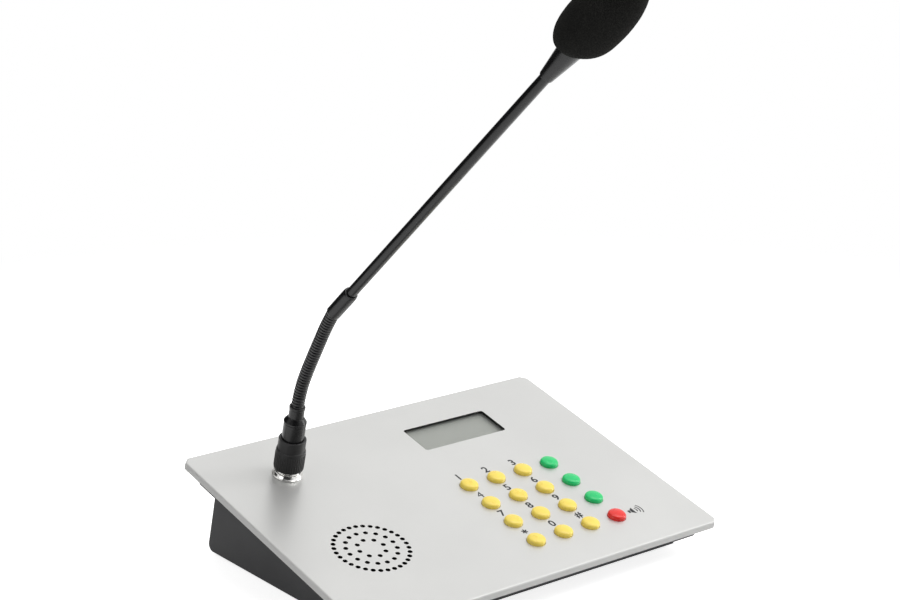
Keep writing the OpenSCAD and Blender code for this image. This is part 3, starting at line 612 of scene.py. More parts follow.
# %% The lathe
def turned(name, profile, place=Matrix.Identity(4), radius=0.25, closed=True, around=96):
    """Mesh spun round z from an outline that runs up its outside and down its bore."""
    points, mask = softened(profile, radius, closed)
    angles = [2 * math.pi * j / around for j in range(around)]
    corners = [(p.x * math.cos(a), p.x * math.sin(a), p.y) for p in points for a in angles]
    faces = []
    for i in range(len(points) if closed else len(points) - 1):
        low, high = i * around, (i + 1) % len(points) * around
        for j in range(around):
            k = (j + 1) % around
            faces.append((low + j, low + k, high + k, high + j))
    mesh = mesh_of(name, corners, faces=faces)
    worn = mesh.attributes.new("edge", "FLOAT", "POINT")
    worn.data.foreach_set("value", [m for m in mask for _ in angles])
    if not closed:
        welded(mesh, 1e-4)
    mesh.shade_smooth()
    mesh.transform(place)
    return mesh


def turned_parts(outlines, place, radius, body, material):
    """A turned piece for each CAD node that the outlines name."""
    for node_name, outline in outlines.items():
        name = node_name + "_turned"
        keep_flats_flat(put_in_scene(name, turned(name, outline, place, radius), body,
                                     [node_name], material))
    print("turned:", ", ".join(outlines))


# %% [markdown]
# ## The microphone socket
#
# A round chromed socket stands out of the panel. It is turned brass under nickel and chrome,
# so it has a thin flange, a polished bevel and a thread that the lock ring runs on. Chrome
# shows nothing but its surroundings, so its shape and the studio do most of the work.

# %% Chromed socket
SOCKET_TOP, THREAD_R, THREAD_ROOT_R = 13, 8.2, 7.75
chrome = make_finish("polished_chrome", (0.80, 0.79, 0.77, 1), 0.10, Metallic=1.0,
                     grain=(9000.0, 0.001), smudge=(160.0, 0.10), tint=0.03)
thread = [spot for turn in range(9)
          for spot in ((THREAD_R, 3.6 + turn), (THREAD_ROOT_R, 4.1 + turn))]
socket_outline = [
    (6.7, -12), (7.6, -12), (7.6, 0), (10.2, 0), (10.55, 0.25), (10.55, 0.8), (10.1, 1.1),
    (10.0, 1.5), (9.3, 3.0), (8.9, 3.3), (THREAD_R, 3.3), *thread, (THREAD_R, 12.6),
    (7.8, SOCKET_TOP), (6.7, SOCKET_TOP),
]
keep_flats_flat(put_in_scene(
    "mic_socket_chrome", turned("mic_socket_chrome", socket_outline, socket, 0.16, around=128),
    "console", ["mic_socket"], chrome))
print("the socket stands", SOCKET_TOP, "mm over the panel, thread included")

# %% [markdown]
# ## The plug and its lock ring
#
# The plug's shell, cap and sleeve are turned metal with a satin black coat, and the lock
# ring is ribbed so that fingers can turn it. The ribs repeat, so a geometry tree sets them
# round the ring: one rib is a short curve with a round profile that narrows at its ends.

# %% Black finishes of the plug
BARE = (0.06, 0.06, 0.06, 1)
satin_black = make_finish("satin_black_coat", (0.006, 0.006, 0.0065, 1), 0.24,
                          grain=(7000.0, 0.002), smudge=(90.0, 0.10), tint=0.12,
                          wear=(0.30, BARE), Specular_IOR_Level=0.38)
ring_black = make_finish("ring_black_coat", (0.008, 0.008, 0.0085, 1), 0.40,
                         grain=(6000.0, 0.004), smudge=(110.0, 0.12), tint=0.12,
                         wear=(0.34, BARE), Specular_IOR_Level=0.4)


# %% Geometry tree that sets ribs round a ring
def shaded(tree, geometry, smooth=True):
    return geo(tree, "SetShadeSmooth", {"Geometry": geometry, "Shade Smooth": smooth})


def with_edge(tree, geometry, value):
    """Geometry whose edge attribute, which the wear reads, has a value."""
    return geo(tree, "StoreNamedAttribute", {
        "Geometry": geometry, "Name": "edge", "Value": value}, data_type="FLOAT", domain="POINT")


def make_rib_tree():
    tree, size = new_geometry_tree("ribs_round_a_ring", [
        ("Ribs", 40), ("Radius", 9.8), ("Rib Radius", 0.48), ("Low", 5.7), ("High", 18.4)])
    line = geo(tree, "CurvePrimitiveLine", {
        "Start": xyz(tree, z=size["Low"]), "End": xyz(tree, z=size["High"])})
    from_middle = calc("ABSOLUTE", geo(tree, "SplineParameter")["Factor"] * 2.0 - 1.0)
    taper = calc("SQRT", 1.0 - from_middle ** 16.0)
    rib = geo(tree, "CurveToMesh", {
        "Curve": geo(tree, "ResampleCurve", {"Curve": line, "Count": 16}),
        "Profile Curve": circle(tree, size["Rib Radius"], 8),
        "Scale": calc("MAXIMUM", taper, 0.05), "Fill Caps": True})
    centres = geo(tree, "MeshCircle", {"Vertices": size["Ribs"], "Radius": size["Radius"]})
    ribs = with_edge(tree, copies(tree, centres, rib), 0.45)
    whole = shaded(tree, joined(tree, size["Geometry"], ribs))
    return give_out(tree, "Geometry", Geometry=in_material(tree, whole, size["Material"]))


rib_tree = make_rib_tree()

# %% Lock ring
ring_outline = [
    (8.27, 5.5), (9.8, 5.5), (10.05, 5.8), (10.05, 19.2), (9.75, 20.4), (9.35, 20.7),
    (9.35, 28.3), (9.0, 28.7), (7.68, 28.7), (7.68, 16), (8.27, 16),
]
ring_body = turned("lock_ring_body", ring_outline, radius=0.3, around=160)
ring_mesh = grown("lock_ring_ribbed", rib_tree, ring_body, Material=ring_black)
ring_mesh.transform(socket)
keep_flats_flat(put_in_scene("lock_ring_ribbed", ring_mesh, "lock_ring",
                             ["lock_ring"]))
print("lock ring:", faces_of(ring_mesh), "triangles")

# %% Shell, cap and sleeve of the plug
turned_parts({
    "plug_shell": [(5.8, -4), (6.6, -4), (6.6, 14.2), (8.1, 14.2), (8.1, 15.8), (7.6, 15.8),
                   (7.6, 40.5), (5.8, 40.5)],
    "plug_cap": [(4.45, 40.5), (7.5, 40.5), (7.75, 40.75), (7.75, 41.9), (5.45, 45.0),
                 (4.45, 45.0)],
    "neck_sleeve": [(4.45, 45.0), (5.15, 45.0), (5.15, 51.0), (5.4, 51.3), (5.4, 52.9),
                    (5.1, 53.3), (4.45, 53.3)],
}, socket, 0.28, "mic_plug", satin_black)

# %% [markdown]
# ## The gooseneck
#
# The real neck is a wound steel hose: round beads one after another, which bend anywhere.
# The CAD model breaks it into links with a joint between each two. Here seven lengths of
# ribbed hose cross those joints, and each one curves round the joint that it crosses.
# The hose follows a path, so a geometry tree wraps a grid round it: one side of the grid
# runs along the path, the other goes round it, and the beads are a rule on the radius.


# %% Geometry tree that wraps a beaded hose round a path
def make_hose_tree():
    tree, size = new_geometry_tree("beaded_hose", [
        ("Beads", 6), ("Core Radius", 3.55), ("Bead Radius", 4.4), ("Rows Per Bead", 12),
        ("Around", 56)])
    path = geo(tree, "MeshToCurve", {"Mesh": size["Geometry"]})
    grid = geo(tree, "MeshGrid", {
        "Size X": 1.0, "Size Y": 1.0, "Vertices X": size["Around"] + 1.0,
        "Vertices Y": size["Beads"] * size["Rows Per Bead"] + 1.0})
    spot = add_node(tree, "ShaderNodeSeparateXYZ", {0: geo(tree, "InputPosition")})
    angle, share = (spot[0] + 0.5) * (2 * math.pi), spot[1] + 0.5
    on_path = geo(tree, "SampleCurve", {"Curves": path, "Factor": share}, mode="FACTOR",
                  use_all_curves=True)
    off_middle = calc("ABSOLUTE", calc("FRACT", share * size["Beads"]) * 2.0 - 1.0)
    bead = calc("SQRT", calc("MAXIMUM", 1.0 - (off_middle / 0.94) ** 2.4, 0.0))
    reach = bead * (size["Bead Radius"] - size["Core Radius"]) + size["Core Radius"]
    side = xyz(tree, 1.0)
    up = vector_math(tree, "CROSS_PRODUCT", on_path["Tangent"], side)
    across = vector_math(tree, "SCALE", side, calc("COSINE", angle) * reach)
    away = vector_math(tree, "SCALE", up, calc("SINE", angle) * reach)
    radial = vector_math(tree, "ADD", across, away)
    place = vector_math(tree, "ADD", on_path["Position"], radial)
    hose = geo(tree, "SetPosition", {"Geometry": grid, "Position": place})
    closed = geo(tree, "MergeByDistance", {
        "Geometry": with_edge(tree, hose, bead ** 6.0), "Distance": 0.0005})
    return give_out(tree, "Geometry", Geometry=in_material(
        tree, shaded(tree, closed), size["Material"]))


hose_tree = make_hose_tree()


# %% Path of a length that crosses a joint
def hose_path(i, before, after, reach):
    """Points along a neck length that crosses joint i, turning within reach of it."""
    here, below, above = neck_joint(i)
    start, end = here - below * reach, here + above * reach
    points = [start.lerp(here, s).lerp(here.lerp(end, s), s) for s in np.linspace(0, 1, 17)]
    if before > reach:
        points.insert(0, here - below * before)
    if after > reach:
        points.append(here + above * after)
    return mesh_of(f"neck_path_{i}", points, [(k, k + 1) for k in range(len(points) - 1)])


# %% Seven lengths of hose
hose_black = make_finish("hose_black_coat", (0.006, 0.006, 0.0065, 1), 0.20,
                         grain=(8000.0, 0.002), smudge=(120.0, 0.12), tint=0.15,
                         wear=(0.16, BARE), Specular_IOR_Level=0.48)
BEAD, HALF, LAST_JOINT = LINK_LENGTH / 6, LINK_LENGTH / 2, len(LINK_LEANS)
BLEND_REACH, COLLAR_BEND, COLLAR_BLEND = 6.0, 1.2, 0.5      # less at the stiff collar
for i in range(LAST_JOINT + 1):
    before = 4 * BEAD if i == 0 else HALF
    after, bend, blend_to = ((BEAD, COLLAR_BEND, COLLAR_BLEND) if i == LAST_JOINT
                             else (HALF, HALF, BLEND_REACH))
    path = hose_path(i, before, after, bend)
    mesh = grown(f"neck_hose_{i}", hose_tree, path, Beads=round((before + after) / BEAD),
                 Material=hose_black)
    mesh.transform(socket)
    piece = put_in_scene(f"neck_hose_{i}", mesh, None,
                         ["neck_base" if i == 0 else f"neck_link_{i}"])
    here, below, above = neck_joint(i)
    ends = (here - below * min(before, BLEND_REACH), here + above * blend_to)
    [tuple(socket @ p) for p in ends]
    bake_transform(piece)
print("last length of hose:", faces_of(mesh), "triangles")

# %% [markdown]
# ## Collar, stem and head
#
# Above the hose the neck is a plain steel tube with the same satin black coat. A collar
# joins the two, and a cone carries the microphone capsule, which the foam hides.

# %% Collar, stem tube and head cone
turned_parts({
    "stem_collar": [(3.57, 25.2), (3.57, 6.0), (4.2, 5.4), (4.2, 0.1), (4.55, 0.1),
                    (4.95, 0.9), (4.95, 22.8), (4.55, 24.8), (4.25, 25.2)],
    "stem_tube": [(2.8, 12), (3.55, 12), (3.55, 265), (2.8, 265)],
    "head_cone": [(3.57, 257), (4.4, 257), (7.9, 286.5), (7.45, 286.5), (7.45, 283),
                  (2.8, 283), (2.8, 265), (3.57, 265)],
}, stem, 0.3, "head", satin_black)

# %% [markdown]
# ## The foam windscreen
#
# The windscreen is open-cell foam, cut as an egg with a flat lower end. It is the softest
# and darkest thing here: light sinks into its pores. Its outline is spun densely, a geometry
# tree pushes its skin in and out a little, and the pores themselves are in the material, as a
# bump and as a near-black colour in each pore, which is painted shade.

# %% Foam material
foam_black = make_finish("open_cell_foam", (0.025, 0.025, 0.023, 1), 0.95, smudge=(60.0, 0.05),
                         tint=0.15, Specular_IOR_Level=0.06)


def cell_walls(tree):
    """0 in a pore and 1 on the foam between the pores."""
    cells = add_node(tree, "ShaderNodeTexVoronoi", {
        "Vector": object_place(tree), "Scale": 1900.0}, feature="F1")
    return add_node(tree, "ShaderNodeMapRange", {
        "Value": cells["Distance"], "From Min": 0.15, "From Max": 0.75})


foam_nodes = foam_black.node_tree
pores, ragged = cell_walls(foam_nodes), noise_value(foam_nodes, 1100.0, 3.0, 0.6)
# Each pore gets a near-black base colour: painted shade in the hollows of the foam.
set_shader(foam_black, Normal=bump(foam_nodes, pores + ragged, 0.16), Base_Color=mixed(
    foam_nodes, pores, (0.006, 0.006, 0.006, 1), fed_to(foam_black, "Base Color")))


# %% Geometry tree that roughens a skin
def make_skin_tree():
    tree, size = new_geometry_tree("rough_skin", [
        ("Depth", 0.07), ("Cell Size", 0.9), ("Wave Depth", 0.12), ("Wave Size", 9.0)])
    fine, wavy = ((add_node(tree, "ShaderNodeTexNoise", {
        "Vector": geo(tree, "InputPosition"), "Scale": 1.0 / size[width], "Detail": 2.0,
    })["Fac"] - 0.55) * (size[depth] * 2.0)
        for depth, width in (("Depth", "Cell Size"), ("Wave Depth", "Wave Size")))
    offset = vector_math(tree, "SCALE", geo(tree, "InputNormal"), fine + wavy)
    skin = geo(tree, "SetPosition", {"Geometry": size["Geometry"], "Offset": offset})
    return give_out(tree, "Geometry", Geometry=in_material(
        tree, shaded(tree, skin), size["Material"]))


skin_tree = make_skin_tree()

# %% Egg outline of the windscreen
FOAM_AT, FOAM_R, FOAM_CUT, FOAM_RIM = 310.8, 17.45, 25.7, 1.75
FOAM_LOW, FOAM_HIGH = (28.4, 2.6), (40.5, 2.1)          # half length and power of each end
FOAM_BORE_R, FOAM_BORE_END = 7.55, -1.65


def egg_radius(z):
    length, power = FOAM_LOW if z < 0 else FOAM_HIGH
    return FOAM_R * (1 - min(1, abs(z) / length) ** power) ** (1 / power)


def even_points(points, step):
    """The same outline with points about one step apart."""
    out = [points[0]]
    for a, b in zip(points, points[1:]):
        count = max(1, math.ceil((b - a).length / step))
        out += [a.lerp(b, k / count) for k in range(1, count + 1)]
    return out


def egg_outline():
    """From the bore's end down to the mouth, round the rim and up to the tip."""
    low = FOAM_LOW[0] * np.sin(np.linspace(math.asin(-FOAM_CUT / FOAM_LOW[0]), 0, 40))
    high = FOAM_HIGH[0] * np.sin(np.linspace(0, math.pi / 2, 60))
    side = [Vector((egg_radius(z), z)) for z in (*low, *high[1:])]
    rim, mouth = side[0], Vector((FOAM_BORE_R, -FOAM_CUT))
    inner = rim + Vector((-FOAM_RIM, 0))
    outer = rim + (side[1] - rim).normalized() * FOAM_RIM
    corner = [inner.lerp(rim, s).lerp(rim.lerp(outer, s), s) for s in np.linspace(0, 1, 9)]
    lip = [mouth + Vector((0, 0.5)), mouth + Vector((0.12, 0.1)), mouth + Vector((0.4, 0))]
    above = [p for p in side if p.y > outer.y]
    bore = [Vector((0, FOAM_BORE_END)), Vector((FOAM_BORE_R, FOAM_BORE_END))]
    return even_points(bore, 1.5) + even_points(lip + corner + above, 0.55)


# %% Spin the egg, lean its lower end and nod it a little
FOAM_NOD = math.radians(3)
FOAM_SLANT, SLANT_FROM = (0.22, -0.25), 8.0
foam = turned("foam_windscreen", [tuple(p) for p in egg_outline()], radius=0.0, closed=False,
              around=224)
upright = Matrix.Translation((0, 0, FOAM_AT))
nod = upright @ Matrix.Rotation(FOAM_NOD, 4, "X")
for corner in foam.vertices:
    near_end = max(0.0, (-corner.co.z - SLANT_FROM) / (FOAM_CUT - SLANT_FROM)) ** 1.5
    corner.co.z += near_end * (FOAM_SLANT[0] * corner.co.x + FOAM_SLANT[1] * corner.co.y)
    bored = math.hypot(corner.co.x, corner.co.y) < FOAM_BORE_R + 0.01 and corner.co.z < 0
    corner.co = (upright if bored else nod) @ corner.co
foam = grown("foam_windscreen", skin_tree, foam, Material=foam_black)
foam.transform(stem)
windscreen = put_in_scene("foam_windscreen", foam, "head", ["windscreen"])
print("windscreen:", faces_of(foam), "triangles")

# %% [markdown]
# ## The keys
#
# Sixteen glossy caps stand through the panel. Each is moulded in its own colour, with a
# straight side, a generous rounding and a slightly domed top like a lens. The skirt under
# the panel keeps the cap in, and its stem sits on a switch, so the whole outline is spun.

# %% Key plastics
key_plastics = {
    slot: make_finish(name, colour, 0.30, grain=(2600.0, 0.004), smudge=(140.0, 0.10),
                      tint=0.03, Coat_Weight=0.15, Coat_Roughness=0.12,
                      Specular_IOR_Level=0.35)
    for slot, name, colour in (("key_yellow", "yellow_key_plastic", srgb(255, 226, 100)),
                               ("key_green", "green_key_plastic", srgb(30, 208, 118)),
                               ("key_red", "red_key_plastic", srgb(238, 48, 42)))}

# %% Sixteen key caps
KEY_R, KEY_TOP, KEY_EDGE_R, KEY_CROWN = 6.4, 3.8, 2.1, 0.6
KEY_ROWS = (("key_1", "key_2", "key_3", "key_green_a"),
            ("key_4", "key_5", "key_6", "key_green_b"),
            ("key_7", "key_8", "key_9", "key_green_c"),
            ("key_star", "key_0", "key_hash", "key_red"))
KEY_PLACES = {name: (KEYPAD_AT[0] + (column - 1.5) * KEY_PITCH,
                     KEYPAD_AT[1] + (1.5 - row) * KEY_PITCH)
              for row, names in enumerate(KEY_ROWS) for column, name in enumerate(names)}


def key_outline():
    """Plunger, stem, skirt, side, edge and dome, from the lowest point up to the middle."""
    edge_u = KEY_R - KEY_EDGE_R
    drop = KEY_EDGE_R + KEY_CROWN
    dome_r = (edge_u ** 2 + drop ** 2 - KEY_EDGE_R ** 2) / (2 * KEY_CROWN)
    lean = math.atan2(edge_u, dome_r - drop)
    outline = [(0, -9), (1.75, -9), (1.75, -6.6), (3, -6.6), (3, -3.05), (7.3, -3.05),
               (7.3, -2.05), (KEY_R, -2.05)]
    for a in np.linspace(0, math.pi / 2 - lean, 9):
        outline.append((edge_u + KEY_EDGE_R * math.cos(a),
                        KEY_TOP - drop + KEY_EDGE_R * math.sin(a)))
    for a in np.linspace(lean, 0, 8)[1:]:
        outline.append((dome_r * math.sin(a), KEY_TOP - dome_r * (1 - math.cos(a))))
    return outline


for node_name, spot in KEY_PLACES.items():
    colour = next((c for c in ("key_green", "key_red") if c in node_name), "key_yellow")
    place = panel @ Matrix.Translation((*spot, 0))
    cap = turned(node_name + "_cap", key_outline(), place, 0.12, closed=False, around=64)
    put_in_scene(node_name + "_cap", cap, node_name, [node_name], key_plastics[colour])
print("one key cap:", faces_of(cap), "triangles")

# %% [markdown]
# ## Printed marks
#
# The numerals are screen printed in thin dark ink above their keys. The mark beside the red
# key is a plain loudspeaker sign. Ink lies on the metal as a very thin film, so each mark is
# a flat shape a few hundredths of a millimetre over the panel.

# %% Ink and numerals
ink = make_finish("dark_printing_ink", srgb(26, 27, 30), 0.6, grain=(9000.0, 0.002),
                  smudge=(500.0, 0.1), tint=0.10)
MARK_UP, MARK_HEIGHT, INK_OVER = 12.1, 6.8, 0.03


def text_mesh(text):
    """Flat mesh of a numeral, centred on the origin."""
    curve = bpy.data.curves.new("mark", "FONT")
    curve.body = text
    curve.resolution_u = 6
    curve.offset = 0.0 if text == "4" else 0.024      # the 4 keeps its small opening
    holder = bpy.data.objects.new("mark", curve)
    bpy.context.scene.collection.objects.link(holder)
    evaluated = holder.evaluated_get(bpy.context.evaluated_depsgraph_get())
    mesh = bpy.data.meshes.new_from_object(evaluated)
    bpy.data.objects.remove(holder)
    co = np.array([v.co for v in mesh.vertices])
    low, high = co.min(0), co.max(0)
    grow = MARK_HEIGHT / (high[1] - low[1])
    mesh.transform(Matrix.Scale(grow, 4) @ Matrix.Translation(Vector(-(low + high) / 2)))
    return mesh


# %% Star and loudspeaker sign
STAR_SPAN, STAR_WIDTH = 4.8, 1.05
SIGN_AT, SIGN_SCALE, WAVE_WIDTH = (15.6, 0.6), 1.8, 0.46


def quads(name, shapes):
    """Flat mesh of four-cornered shapes."""
    return mesh_of(name, [corner for shape in shapes for corner in shape],
                   faces=[range(k, k + 4) for k in range(0, 4 * len(shapes), 4)])


def star_mesh():
    """Six-armed star: three bars across each other."""
    return quads("star_mark", [[
        Matrix.Rotation(math.radians(30 + 60 * turn), 3, "Z")
        @ Vector((x * STAR_SPAN / 2, y * STAR_WIDTH / 2, 0.004 * turn))
        for x, y in ((-1, -1), (1, -1), (1, 1), (-1, 1))] for turn in range(3)])


def loudspeaker_mesh():
    """A box, a horn and three waves."""
    shapes = [[(-2.3, -0.8, 0), (-1.2, -0.8, 0), (-1.2, 0.8, 0), (-2.3, 0.8, 0)],
              [(-1.0, -0.85, 0), (0.5, -2.0, 0), (0.5, 2.0, 0), (-1.0, 0.85, 0)]]
    arc = [math.radians(a) for a in np.linspace(-38, 38, 13)]
    for near in (1.5, 2.7, 3.9):
        far = near + WAVE_WIDTH
        shapes += [[(0.1 + r * math.cos(t), r * math.sin(t), 0)
                    for r, t in ((near, a), (far, a), (far, b), (near, b))]
                   for a, b in zip(arc, arc[1:])]
    mesh = welded(quads("loudspeaker_mark", shapes), 1e-5)
    mesh.transform(Matrix.Scale(SIGN_SCALE, 4))
    return mesh


# %% Numerals over the keys, and the sign beside the red one
marks = bmesh.new()
for node_name, (u, v) in KEY_PLACES.items():
    sign = {"star": "*", "hash": "#", "red": "sign"}.get(node_name[4:], node_name[4:])
    if sign == "sign":
        mark, u, v = loudspeaker_mesh(), u + SIGN_AT[0], v + SIGN_AT[1]
    elif len(sign) == 1:
        mark, v = star_mesh() if sign == "*" else text_mesh(sign), v + MARK_UP
    else:
        continue
    mark.transform(Matrix.Translation((u, v, INK_OVER)))
    marks.from_mesh(mark)
    bpy.data.meshes.remove(mark)
mesh = bpy.data.meshes.new("printed_marks")
marks.to_mesh(mesh)
marks.free()
mesh.transform(panel)
put_in_scene("printed_marks", mesh, "console", material=ink)
print("printed marks:", faces_of(mesh), "triangles")

# %% [markdown]
# ## The lower case
#
# The case is a folded and welded sheet-metal tray in a dark powder coat. The CAD shape is
# right, so this piece starts as a copy of it: the loose triangles are merged, flat faces are
# joined, and a narrow bevel gives every edge the small radius of the coat.


# %% Dark powder coat, and the case in it
def merge_faces(bm):
    """Merge a CAD mesh's triangles into the flat faces that they came from."""
    bmesh.ops.remove_doubles(bm, verts=bm.verts, dist=1e-6)
    bmesh.ops.dissolve_limit(bm, angle_limit=math.radians(1.0), verts=bm.verts,
                             edges=bm.edges)
    bmesh.ops.recalc_face_normals(bm, faces=bm.faces)


case_coat = make_finish("dark_powder_coat", srgb(40, 40, 42), 0.50, grain=(3800.0, 0.02),
                        smudge=(18.0, 0.08), tint=0.05, Specular_IOR_Level=0.22)
case_mesh = edited(frame["nodes"]["lower_case"].data.copy(), merge_faces)
case_mesh.name = "lower_case_clean"
case_mesh.materials.clear()
case_mesh.shade_smooth()
bevelled(put_in_scene("case_tray", case_mesh, "console", ["lower_case"],
                      case_coat),
         0.35 * MM, 2, limit_method="ANGLE", angle_limit=math.radians(40))
print("case:", len(case_mesh.polygons), "faces before its bevel")

# %% [markdown]
# ## The display
#
# A liquid crystal display lies behind a clear window, with its glass 3.7 mm under the top of
# the panel. Switched off it is a flat grey green, and close up it shows the grid of its dots.


# %% Display glass and window
def dress(material, *node_names):
    """Give CAD nodes a material."""
    for node_name in node_names:
        data = frame["nodes"][node_name].data
        data.materials.clear()
        data.materials.append(material)
    print(material.name, "on", ", ".join(node_names))


def recolour(material, factor, colour):
    """Mix a colour over a material's base colour where factor, made in its tree, is 1."""
    tree = material.node_tree
    under = fed_to(material, "Base Color")
    set_shader(material, Base_Color=mixed(tree, factor(tree), under, colour))


def dot_grid(tree):
    """Fine lines between the dots of the display."""
    place = use_group(tree, PANEL_PLACE)
    lines = [calc("GREATER_THAN", calc("FRACT", place[k] / 0.55), 0.86) for k in "UV"]
    return calc("MAXIMUM", *lines) * 0.35


lcd = make_finish("display_grey_green", srgb(141, 144, 136), 0.35, grain=(4000.0, 0.001),
                  smudge=(40.0, 0.06), tint=0.02)
recolour(lcd, dot_grid, srgb(129, 133, 124))
dress(lcd, "display_glass")
dress(make_finish("clear_window", (0.9, 0.92, 0.9, 1), 0.08, grain=(3000.0, 0.0005),
                  smudge=(60.0, 0.05), tint=0.0, Alpha=0.10), "display_window")

# %% [markdown]
# ## Small parts that repeat
#
# Screws and feet are the same part many times. Each is made once, and a geometry tree sets
# it on points. The points come from the CAD nodes themselves: every separate solid in a node
# gives its middle, and whether its head looks up or down.


# %% Where a node's separate solids are
def islands(node_name, place):
    """Corner arrays of a CAD node's solids, in the millimetres of a place."""
    bm = bmesh.new()
    bm.from_mesh(frame["nodes"][node_name].data)
    bmesh.ops.remove_doubles(bm, verts=bm.verts, dist=1e-6)
    bm.transform(place.inverted())
    left, found = set(bm.verts), []
    for first in bm.verts:                  # not left.pop(), whose order isn't fixed
        if first not in left:
            continue
        left.remove(first)
        stack, group = [first], []
        while stack:
            vert = stack.pop()
            group.append(vert.co[:])
            near = {edge.other_vert(vert) for edge in vert.link_edges} & left
            left -= near
            stack += near
        found.append(np.array(group))
    bm.free()
    return found


# %% Geometry tree that sets a part on points
def make_scatter_tree():
    tree, size = new_geometry_tree("part_on_points", others=[("Part", "Object")])
    part = geo(tree, "ObjectInfo", {"Object": size["Part"]})["Geometry"]
    angle = geo(tree, "InputNamedAttribute", {"Name": "turn"}, data_type="FLOAT_VECTOR")
    spin = add_node(tree, "FunctionNodeEulerToRotation", {0: angle})
    placed = copies(tree, size["Geometry"], part, Rotation=spin)
    return give_out(tree, "Geometry", Geometry=in_material(tree, placed, size["Material"]))


SCATTER = make_scatter_tree()


def scattered(name, part_mesh, spots, place, material, replaces):
    """One mesh of a part on every spot, which is a point and an Euler angle."""
    part = bpy.data.objects.new(name + "_part", part_mesh)
    bpy.context.scene.collection.objects.link(part)
    seed = mesh_of(name + "_points", [point for point, _ in spots])
    turn = seed.attributes.new("turn", "FLOAT_VECTOR", "POINT")
    turn.data.foreach_set("vector", [a for _, angle in spots for a in angle])
    mesh = grown(name, SCATTER, seed, Part=part, Material=material)
    bpy.data.objects.remove(part)
    mesh.transform(place)
    return put_in_scene(name, mesh, "console", replaces)


# %% Cross recess cut by a geometry tree
def make_recess_tree():
    tree, size = new_geometry_tree("cross_recess", [
        ("Span", 2.7), ("Slot", 0.6), ("Depth", 2.0), ("At", -1.9)])
    cut = geo(tree, "MeshBoolean", {"Mesh 1": size["Geometry"]}, operation="DIFFERENCE")
    for sides in (("Span", "Slot"), ("Slot", "Span")):
        bar = geo(tree, "MeshCube", {"Size": xyz(tree, *(size[s] for s in (*sides, "Depth")))})
        feed(tree, cut.output.node.inputs["Mesh 2"], moved(tree, bar, z=size["At"]))
    return give_out(tree, "Geometry", Geometry=in_material(
        tree, shaded(tree, cut, False), size["Material"]))


RECESS = make_recess_tree()

# %% Screws
screw_steel = make_finish("zinc_plated_steel", (0.62, 0.62, 0.63, 1), 0.34, Metallic=1.0,
                          grain=(7000.0, 0.003), smudge=(300.0, 0.15), tint=0.06)
SCREW_PITCH, HEAD_BEYOND = 0.6, 2.2         # only a head reaches farther out than this


def screw_mesh(length):
    """Pan-head screw, its head under z = 0 and its threaded shank going up."""
    outline = [(0, -1.8), (1.6, -1.72), (2.5, -1.25), (2.8, -0.6), (2.8, 0), (1.4, 0)]
    for turn in range(int((length - 0.8) / SCREW_PITCH)):
        outline += [(1.2, 0.35 + SCREW_PITCH * turn), (1.45, 0.65 + SCREW_PITCH * turn)]
    outline += [(1.2, length - 0.3), (0.8, length), (0, length)]
    name = f"screw_{length:.1f}"
    blank = turned(name, outline, radius=0.12, closed=False, around=20)
    return grown(name + "_cut", RECESS, blank, Material=screw_steel)


def screw_spot(corners):
    """A screw's length, and the place and the turn of the seat under its head."""
    middle = (corners.min(0) + corners.max(0)) / 2
    head = corners[np.hypot(*(corners - middle)[:, :2].T) > HEAD_BEYOND][:, 2]
    low, high = corners[:, 2].min(), corners[:, 2].max()
    upward = high - head.max() > 1.0
    seat = head.max() if upward else head.min()
    length = round(float(high - seat if upward else seat - low), 1)
    return length, ((middle[0], middle[1], seat), (0 if upward else math.pi, 0, 0))


for node_name in ("panel_screws", "speaker_screws", "board_screws"):
    groups = {}
    for length, spot in map(screw_spot, islands(node_name, panel)):
        groups.setdefault(length, []).append(spot)
    for n, (length, spots) in enumerate(sorted(groups.items())):
        name = node_name if len(groups) == 1 else f"{node_name}_{n}"
        scattered(name + "_cut", screw_mesh(length), spots, panel, screw_steel,
                  [node_name])
        print(f"{len(spots)} screws {length} mm long in {name}")

# %% Rubber feet
room = Matrix.Scale(MM, 4)
rubber = make_finish("black_rubber", (0.020, 0.020, 0.020, 1), 0.80, grain=(2500.0, 0.03),
                     smudge=(90.0, 0.08), tint=0.15, Specular_IOR_Level=0.25)
foot_outline = [(0, 0.9), (2.4, 0.9), (2.8, 0), (7, 0), (7, 1.6), (6.4, 2.5), (0, 2.5)]
foot = turned("rubber_foot", foot_outline, radius=0.4, closed=False, around=48)
feet_at = [(c.min(0) + c.max(0)) / 2 for c in islands("rubber_feet", room)]
scattered("rubber_feet_turned", foot, [((x, y, 0), (0, 0, 0)) for x, y, _ in feet_at], room,
          rubber, ["rubber_feet"])
print("feet at", [[round(float(a)) for a in spot[:2]] for spot in feet_at])

# %% [markdown]
# ## What lies inside and behind
#
# The rest is seen through holes, from behind, or not at all. These CAD nodes keep their
# shape and get a material that fits: woven grille cloth, a paper cone with pressed rings,
# ferrite, solder mask with tracks and black parts on it, and moulded plastic.


# %% Materials of the loudspeaker
def add_height(material, height, depth):
    """Bump from a height rule, in millimetres, on top of the material's own bump."""
    tree, under = material.node_tree, fed_to(material, "Normal")
    set_shader(material, Normal=bump(tree, height(tree), depth, Normal=under))


def woven(tree):
    """Threads that cross at right angles, as a height."""
    place = use_group(tree, PANEL_PLACE)
    return calc("MAXIMUM", *(calc("ABSOLUTE", calc("SINE", place[k] * 7.5)) for k in "UV"))


def squared_distance(tree, **middle):
    """From a point on the panel that is given in two of U, V and W."""
    place = use_group(tree, PANEL_PLACE)
    a, b = ((place[k] - at) ** 2.0 for k, at in middle.items())
    return a + b


def pressed_rings(tree):
    """Concentric rings round the loudspeaker's middle, as a height."""
    u, v = GRILLE_AT
    return calc("SINE", calc("SQRT", squared_distance(tree, U=u, V=v)) * 2.6)


